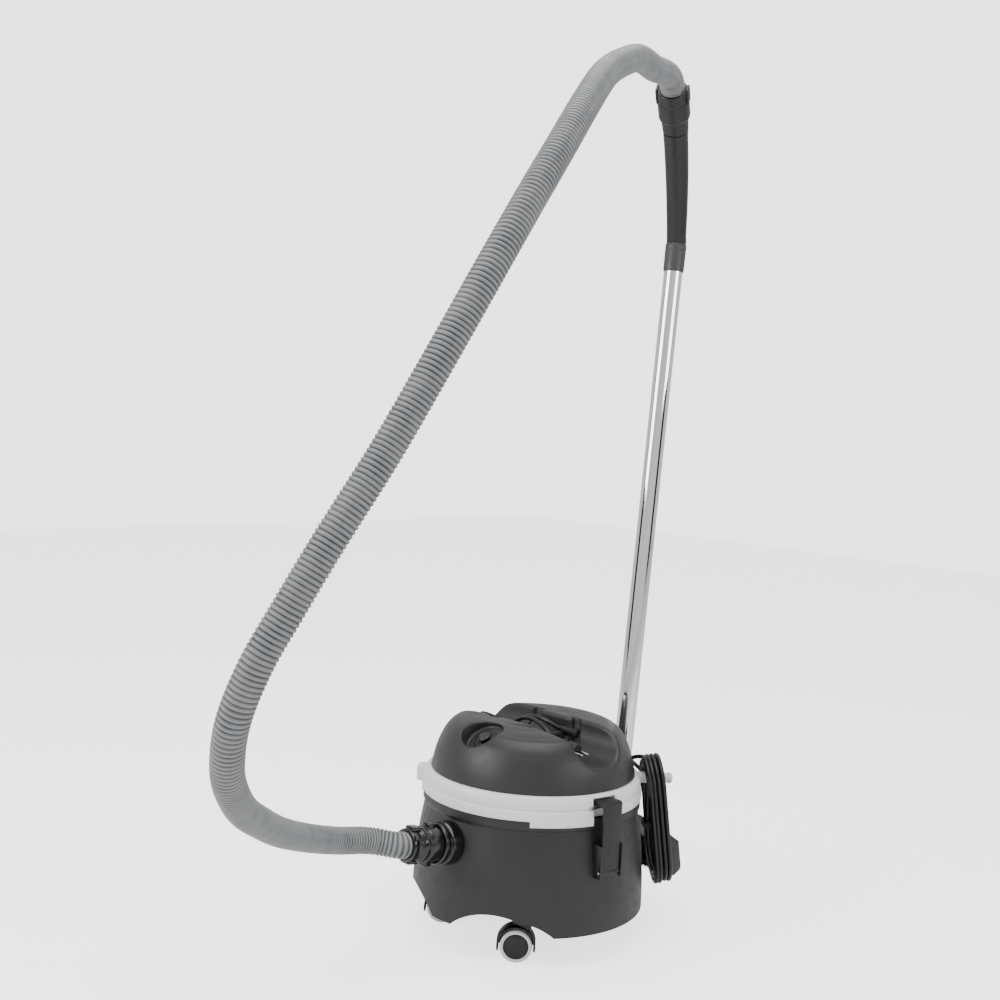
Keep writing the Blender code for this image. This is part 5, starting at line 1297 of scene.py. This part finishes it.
def make_brushes():
    tree = bristle_tree()
    sole, front, half = -0.0100, 0.0120 - 0.0820, 0.1180 - 0.0080 - GAP
    for index, at in enumerate((front + 0.0040, front + 0.0340)):
        name = ("front", "rear")[index]
        strip = block((-half, sole + 0.0005, at + GAP), (half, sole + 0.0057, at + 0.0039), 0.0003, 1)
        source = bpy.data.objects.new("strip", strip)
        bpy.context.scene.collection.objects.link(source)
        top = slab([(-half + 0.001, at + 0.0008), (half - 0.001, at + 0.0008), (half - 0.001, at + 0.0034),
                    (-half + 0.001, at + 0.0034)], 0.0, 0.00001, 0)
        settle(top, Matrix(((1, 0, 0, 0), (0, 0, 1, sole + 0.0004), (0, 1, 0, 0), (0, 0, 0, 1))))
        source.data = top
        hairs = from_nodes(tree, source,
                           {"Density": 1600000.0, "Length": 0.0086, "Thickness": 0.00022, "Seed": 3 + index,
                                          "Material": BRISTLE})
        bpy.data.objects.remove(source)
        piece(f"brush_{name}", settle(merge(strip, hairs), NOZZLE), BRISTLE, "nozzle", "bristle",
              f"brush_strip_{name}")


make_brushes()

# %% [markdown]
# ## The mains cord
# The cord is one unbroken length. It leaves the gland behind the bar, lies over the bar, runs round the
# ring's ledge, winds into the hank on the hook, and comes back beside itself to the plug in the scoop. In
# the hank each turn lies in its own place in the bundle, with a little slack, because no one coils a cord
# perfectly.

# %% The cord's line
CORD_D = 0.0070
LEDGE_R = 0.1690
HANK = TUB @ about("Z", 50) @ Matrix.Translation((0.2050, 0, 0.1830)) @ about("Y", -8)
HANK_HALF_WIDTH, HANK_HALF_HEIGHT = 0.0500, 0.1050
TAIL_ROUTE = [
    (0.0130, 0.0180, 0.3345), (-0.0080, 0.0150, 0.3385), (-0.0300, 0.0140, 0.3360), (-0.0520, 0.0125, 0.3250),
    (-0.0780, 0.0110, 0.3115), (-0.1050, 0.0115, 0.3050), (-0.1280, 0.0170, 0.3072),
              (-0.1480, 0.0290, 0.3085),
    (-0.1580, 0.0485, 0.3010), (-0.1535, 0.0730, 0.2880), (-0.1405, 0.0948, 0.2745),
              (-0.1247, 0.1143, 0.2660),
]
END_ROUTE = [
    (-0.1247, 0.1143, 0.2742), (-0.1420, 0.0958, 0.2832), (-0.1568, 0.0745, 0.2968),
             (-0.1618, 0.0485, 0.3090),
    (-0.1528, 0.0250, 0.3152), (-0.1300, 0.0088, 0.3104), (-0.1050, 0.0022, 0.3052),
             (-0.0780, 0.0020, 0.3105),
    (-0.0520, 0.0030, 0.3245), (-0.0300, 0.0035, 0.3345), (-0.0080, 0.0020, 0.3370),
             (0.0140, -0.0035, 0.3342),
    (0.0350, -0.0075, 0.3270),
]
PLUG_PLACE, PLUG_WAY = Vector((0.0740, -0.0100, 0.3120)), Vector((0.985, -0.02, -0.10)).normalized()
TURNS = 13


def loop_point(run, inset):
    """A point on one turn of the hank: run is 0 at the top and 1 a whole turn later, by the -Y side."""
    w, s = HANK_HALF_WIDTH - inset, HANK_HALF_HEIGHT - HANK_HALF_WIDTH
    around = 2 * math.pi * w + 4 * s
    d = (run % 1.0) * around
    quarter = math.pi * w / 2
    if d < quarter:
        a = math.pi / 2 + d / w
        return w * math.cos(a), s + w * math.sin(a)
    d -= quarter
    if d < 2 * s:
        return -w, s - d
    d -= 2 * s
    if d < 2 * quarter:
        a = math.pi + d / w
        return w * math.cos(a), -s + w * math.sin(a)
    d -= 2 * quarter
    if d < 2 * s:
        return w, -s + d
    a = (d - 2 * s) / w
    return w * math.cos(a), s + w * math.sin(a)


def hank_cells():
    """Where each turn lies in the bundle: columns across it and rows into it, taken back and forth."""
    cells = []
    for row, inset in enumerate((0.0036, 0.0104, 0.0172, 0.0236)):
        columns = (-0.0108, -0.0036, 0.0036, 0.0108)
        cells += [(column, inset) for column in (columns if row % 2 == 0 else columns[::-1])]
    return cells[:TURNS + 1]


def hank_line():
    cells, points = hank_cells(), []
    steps, whole = 72, TURNS - 1
    last = 0.80
    total = int((whole + last) * steps)
    for step in range(total + 1):
        run = step / steps
        turn = min(int(run), len(cells) - 2)
        share = min(max((run - turn - 0.62) / 0.30, 0.0), 1.0)
        share = share * share * (3 - 2 * share)
        across = cells[turn][0] * (1 - share) + cells[turn + 1][0] * share
        inset = cells[turn][1] * (1 - share) + cells[turn + 1][1] * share
        y, z = loop_point(run, inset)
        sway = math.sin(run * 2.399 + 1.0)
        sag = max(0.0, -z / HANK_HALF_HEIGHT) ** 2 * 0.0040 * (0.5 + 0.5 * math.sin(run * 1.7))
        points.append(HANK @ Vector((across + 0.0007 * sway, y, z - sag)))
    return points


def make_cord_line():
    gland = [TUB @ (GLAND_PLACE + GLAND_WAY * s) for s in (0.0020, 0.0140, 0.0260, 0.0340)]
    on_ring = RING_TOP + CORD_D / 2 + GAP

    def ledge(height, first, last, step):
        return [TUB @ Vector((LEDGE_R * math.cos(math.radians(a)), LEDGE_R * math.sin(math.radians(a)),
                              height))
                for a in range(first, last, step)]

    coil = hank_line()
    into = [HANK @ Vector((-0.0330, 0.0420, 0.0900)), HANK @ Vector((-0.0180, 0.0170, 0.0990))]
    tail = gland + [TUB @ Vector(p) for p in TAIL_ROUTE] + ledge(on_ring, 129, 74, -9) + into + coil[:4]
    out = [HANK @ Vector((0.0040, 0.0530, 0.0450)), HANK @ Vector((-0.0190, 0.0640, 0.0760))]
    plug_back = PLUG_PLACE - PLUG_WAY * 0.0100
    end = (coil[-4:] + out + ledge(on_ring + CORD_D + GAP, 88, 132, 9)
           + [TUB @ Vector(p) for p in END_ROUTE]
           + [TUB @ (plug_back - PLUG_WAY * s) for s in (0.0140, 0.0070, -0.0040)])
    line = route_points(tail, 170)[:-1] + coil[4:-4] + route_points(end, 190)
    return route_points(line[:-1:2] + line[-1:], 1500)


CORD_LINE = make_cord_line()

# %% Cord, plug, gland and tie


def cord_tree():
    tree, inside, out = new_tree("round_cord", [("Radius", "NodeSocketFloat"), ("Sides", "NodeSocketInt"),
                                                ("Material", "NodeSocketMaterial")])
    circle = node(tree, "GeometryNodeCurvePrimitiveCircle", {"Resolution": inside.outputs["Sides"],
                                                             "Radius": inside.outputs["Radius"]})
    tube = node(tree, "GeometryNodeCurveToMesh", {"Curve": inside.outputs["Geometry"],
                                                  "Profile Curve": circle.outputs["Curve"],
                                                  "Fill Caps": True})
    smooth = node(tree, "GeometryNodeSetShadeSmooth", {"Geometry": tube.outputs["Mesh"]})
    whole = node(tree, "GeometryNodeRealizeInstances", {"Geometry": smooth.outputs["Geometry"]})
    painted = node(tree, "GeometryNodeSetMaterial", {"Geometry": whole.outputs["Geometry"],
                                                     "Material": inside.outputs["Material"]})
    tree.links.new(painted.outputs["Geometry"], out.inputs["Geometry"])
    return tree


def make_cord():
    place = TUB @ system(PLUG_PLACE, PLUG_WAY, (0, 1, 0))
    plug = turned([(0, 0.0300), (0.0098, 0.0300), (0.0112, 0.0292), (0.0120, 0.0280), (0.0120, 0.0215),
                   (0.0113, 0.0205), (0.0113, 0.0190), (0.0120, 0.0180), (0.0120, 0.0125), (0.0068, 0.0),
                   (0.0062, -0.0020), (0.0056, -0.0025), (0.0054, -0.0060), (0.0048, -0.0100),
                   (0, -0.0100)], 64,
                  radius=0.0008)
    pins = [settle(rod(0.0020, 0.0250, 0.0480, 24),
                   Matrix.Translation((side * 0.0065, 0, 0))) for side in (1, -1)]
    plug = piece("plug", settle(plug, place), BLACK_PLASTIC, "head", "black_plastic", "cord_plug")
    pins = piece("plug_pins", settle(merge(*pins), place), STEEL, "head", "steel", "cord_plug")
    gland = turned([(0.0038, 0.0260), (0.0046, 0.0260), (0.0052, 0.0240), (0.0056, 0.0140), (0.0066, 0.0040),
                    (0.0085, 0.0030), (0.0085, 0.0), (0.0038, 0.0)], 48, ring=True, radius=0.0004)
    gland_place = TUB @ system(GLAND_PLACE, GLAND_WAY, (0, 0, 1))
    piece("strain_relief", settle(gland, gland_place), SOFT_RUBBER, "head", "rubber", "cord_gland")
    tie = softened("strap", "hank_tie", BLACK_PLASTIC, "head", "black_plastic", 0.0005)
    source = line_object("cord_source", CORD_LINE)
    mesh = from_nodes(cord_tree(), source, {"Radius": CORD_D / 2, "Sides": 14, "Material": CORD_SHEATH})
    bpy.data.objects.remove(source)
    cord = piece("mains_cord", mesh, CORD_SHEATH, "head", "cord_black", "cord_tail", "cord_end", "cord_hank")


make_cord()

# %% [markdown]
# ## Screws and the parts inside
# Four screws hold the bracket. The parts inside the machine keep the frame's own shape, and only need a
# finish.

# %% Screws


def make_screws():
    for index in range(1, 5):
        source = f"bracket_screw_{index}"
        softened(f"screw_{index}", source, STEEL, "root", "steel", 0.0004, 2, 40.0)


make_screws()

# %% Finishes for the frame pieces that stay
INSIDE = {"bag_collar": CARD, "filter_bag": FILTER_CLOTH, "cartridge_filter": FILTER_CLOTH,
          "motor_can": STEEL, "fan_rotor": COPPER, "motor_deck": BLACK_PLASTIC, "head_seal": SOFT_RUBBER,
          "pedal_pin": STEEL, "nozzle_pivot_pin": STEEL}


def paint_inside():
    for name, finish in INSIDE.items():
        mesh = frame["nodes"][name].data
        mesh.materials.clear()
        mesh.materials.append(finish)
    print("painted", ", ".join(INSIDE))


paint_inside()

# %% [markdown]
# ## Light and floor
# The machine stands on a plain pale floor. A broad light overhead gives the soft highlight along the
# ring, one from the left shows the form of the tub, and a small one behind draws the bright line down the
# chrome tube.

# %% Stage and lights
DARK_CLOTHS = (20.0, -122.0)     # bearings, in degrees
CLOTH_HALF = 13.0
ROOM_GLOW, CLOTH_GLOW, BACKDROP_GLOW = 0.80, 0.03, 3.0
FLOOR_LIFT = 2.0


def area_light(name, place, target, size, power):
    data = bpy.data.lights.new(name, "AREA")
    data.shape, data.size, data.size_y, data.energy = "RECTANGLE", size[0], size[1], power
    light = bpy.data.objects.new(name, data)
    bpy.context.scene.collection.objects.link(light)
    light.matrix_world = system(Vector(place), Vector(place) - Vector(target), (0, 0, 1))
    return light


def seen_by_camera(tree, strength, otherwise):
    """One strength for the camera's own rays, and another, a number or a socket, for every other ray."""
    camera = node(tree, "ShaderNodeLightPath").outputs["Is Camera Ray"]
    return node(tree, "ShaderNodeMix", {"Factor": camera, "A": otherwise, "B": strength}).outputs["Result"]


def studio_world():
    """A white room with two dark cloths hung in it, so that the chrome has stripes to mirror."""
    world = bpy.data.worlds.new("studio")
    world.use_nodes = True
    tree = world.node_tree
    way = node(tree, "ShaderNodeTexCoord").outputs["Generated"]
    parts = node(tree, "ShaderNodeSeparateXYZ", {"Vector": way})
    bearing = math_node(tree, "ARCTAN2", parts.outputs["Y"], parts.outputs["X"])
    reach = math.radians(CLOTH_HALF)
    cloths = [math_node(tree, "COMPARE", bearing, math.radians(centre), reach) for centre in DARK_CLOTHS]
    dark = math_node(tree, "ADD", *cloths)
    glow = math_node(tree, "MULTIPLY_ADD", dark, CLOTH_GLOW - ROOM_GLOW, ROOM_GLOW)
    background = tree.nodes["Background"]
    background.inputs["Color"].default_value = (1.0, 1.0, 1.0, 1)
    tree.links.new(seen_by_camera(tree, BACKDROP_GLOW, glow), background.inputs["Strength"])
    return world


def floor_paint():
    """White paint, lifted towards white where the camera sees it; shadows on it stay."""
    paint = plastic("floor_paint", (0.92, 0.92, 0.92), 0.85, grain=0.02, drift=0.01)
    shader = next(node for node in paint.node_tree.nodes if node.type == "BSDF_PRINCIPLED")
    shader.inputs["Emission Color"].default_value = (1.0, 1.0, 1.0, 1)
    lift = seen_by_camera(paint.node_tree, FLOOR_LIFT, 0.0)
    paint.node_tree.links.new(lift, shader.inputs["Emission Strength"])
    return paint


def make_stage():
    floor = bpy.data.objects.new("floor", slab([(-6, -6), (6, -6), (6, 6), (-6, 6)], -0.02, 0.0, 0))
    bpy.context.scene.collection.objects.link(floor)
    floor.data.materials.append(floor_paint())
    bpy.context.scene.world = studio_world()
    area_light("top_light", (0.3, -0.4, 3.0), (0, 0, 0.4), (2.2, 2.2), 60)
    area_light("left_light", (-0.9, -2.6, 1.5), (0, 0, 0.4), (1.2, 1.8), 45)
    area_light("right_light", (2.8, 0.6, 1.4), (0, 0, 0.5), (0.7, 1.8), 22)


make_stage()
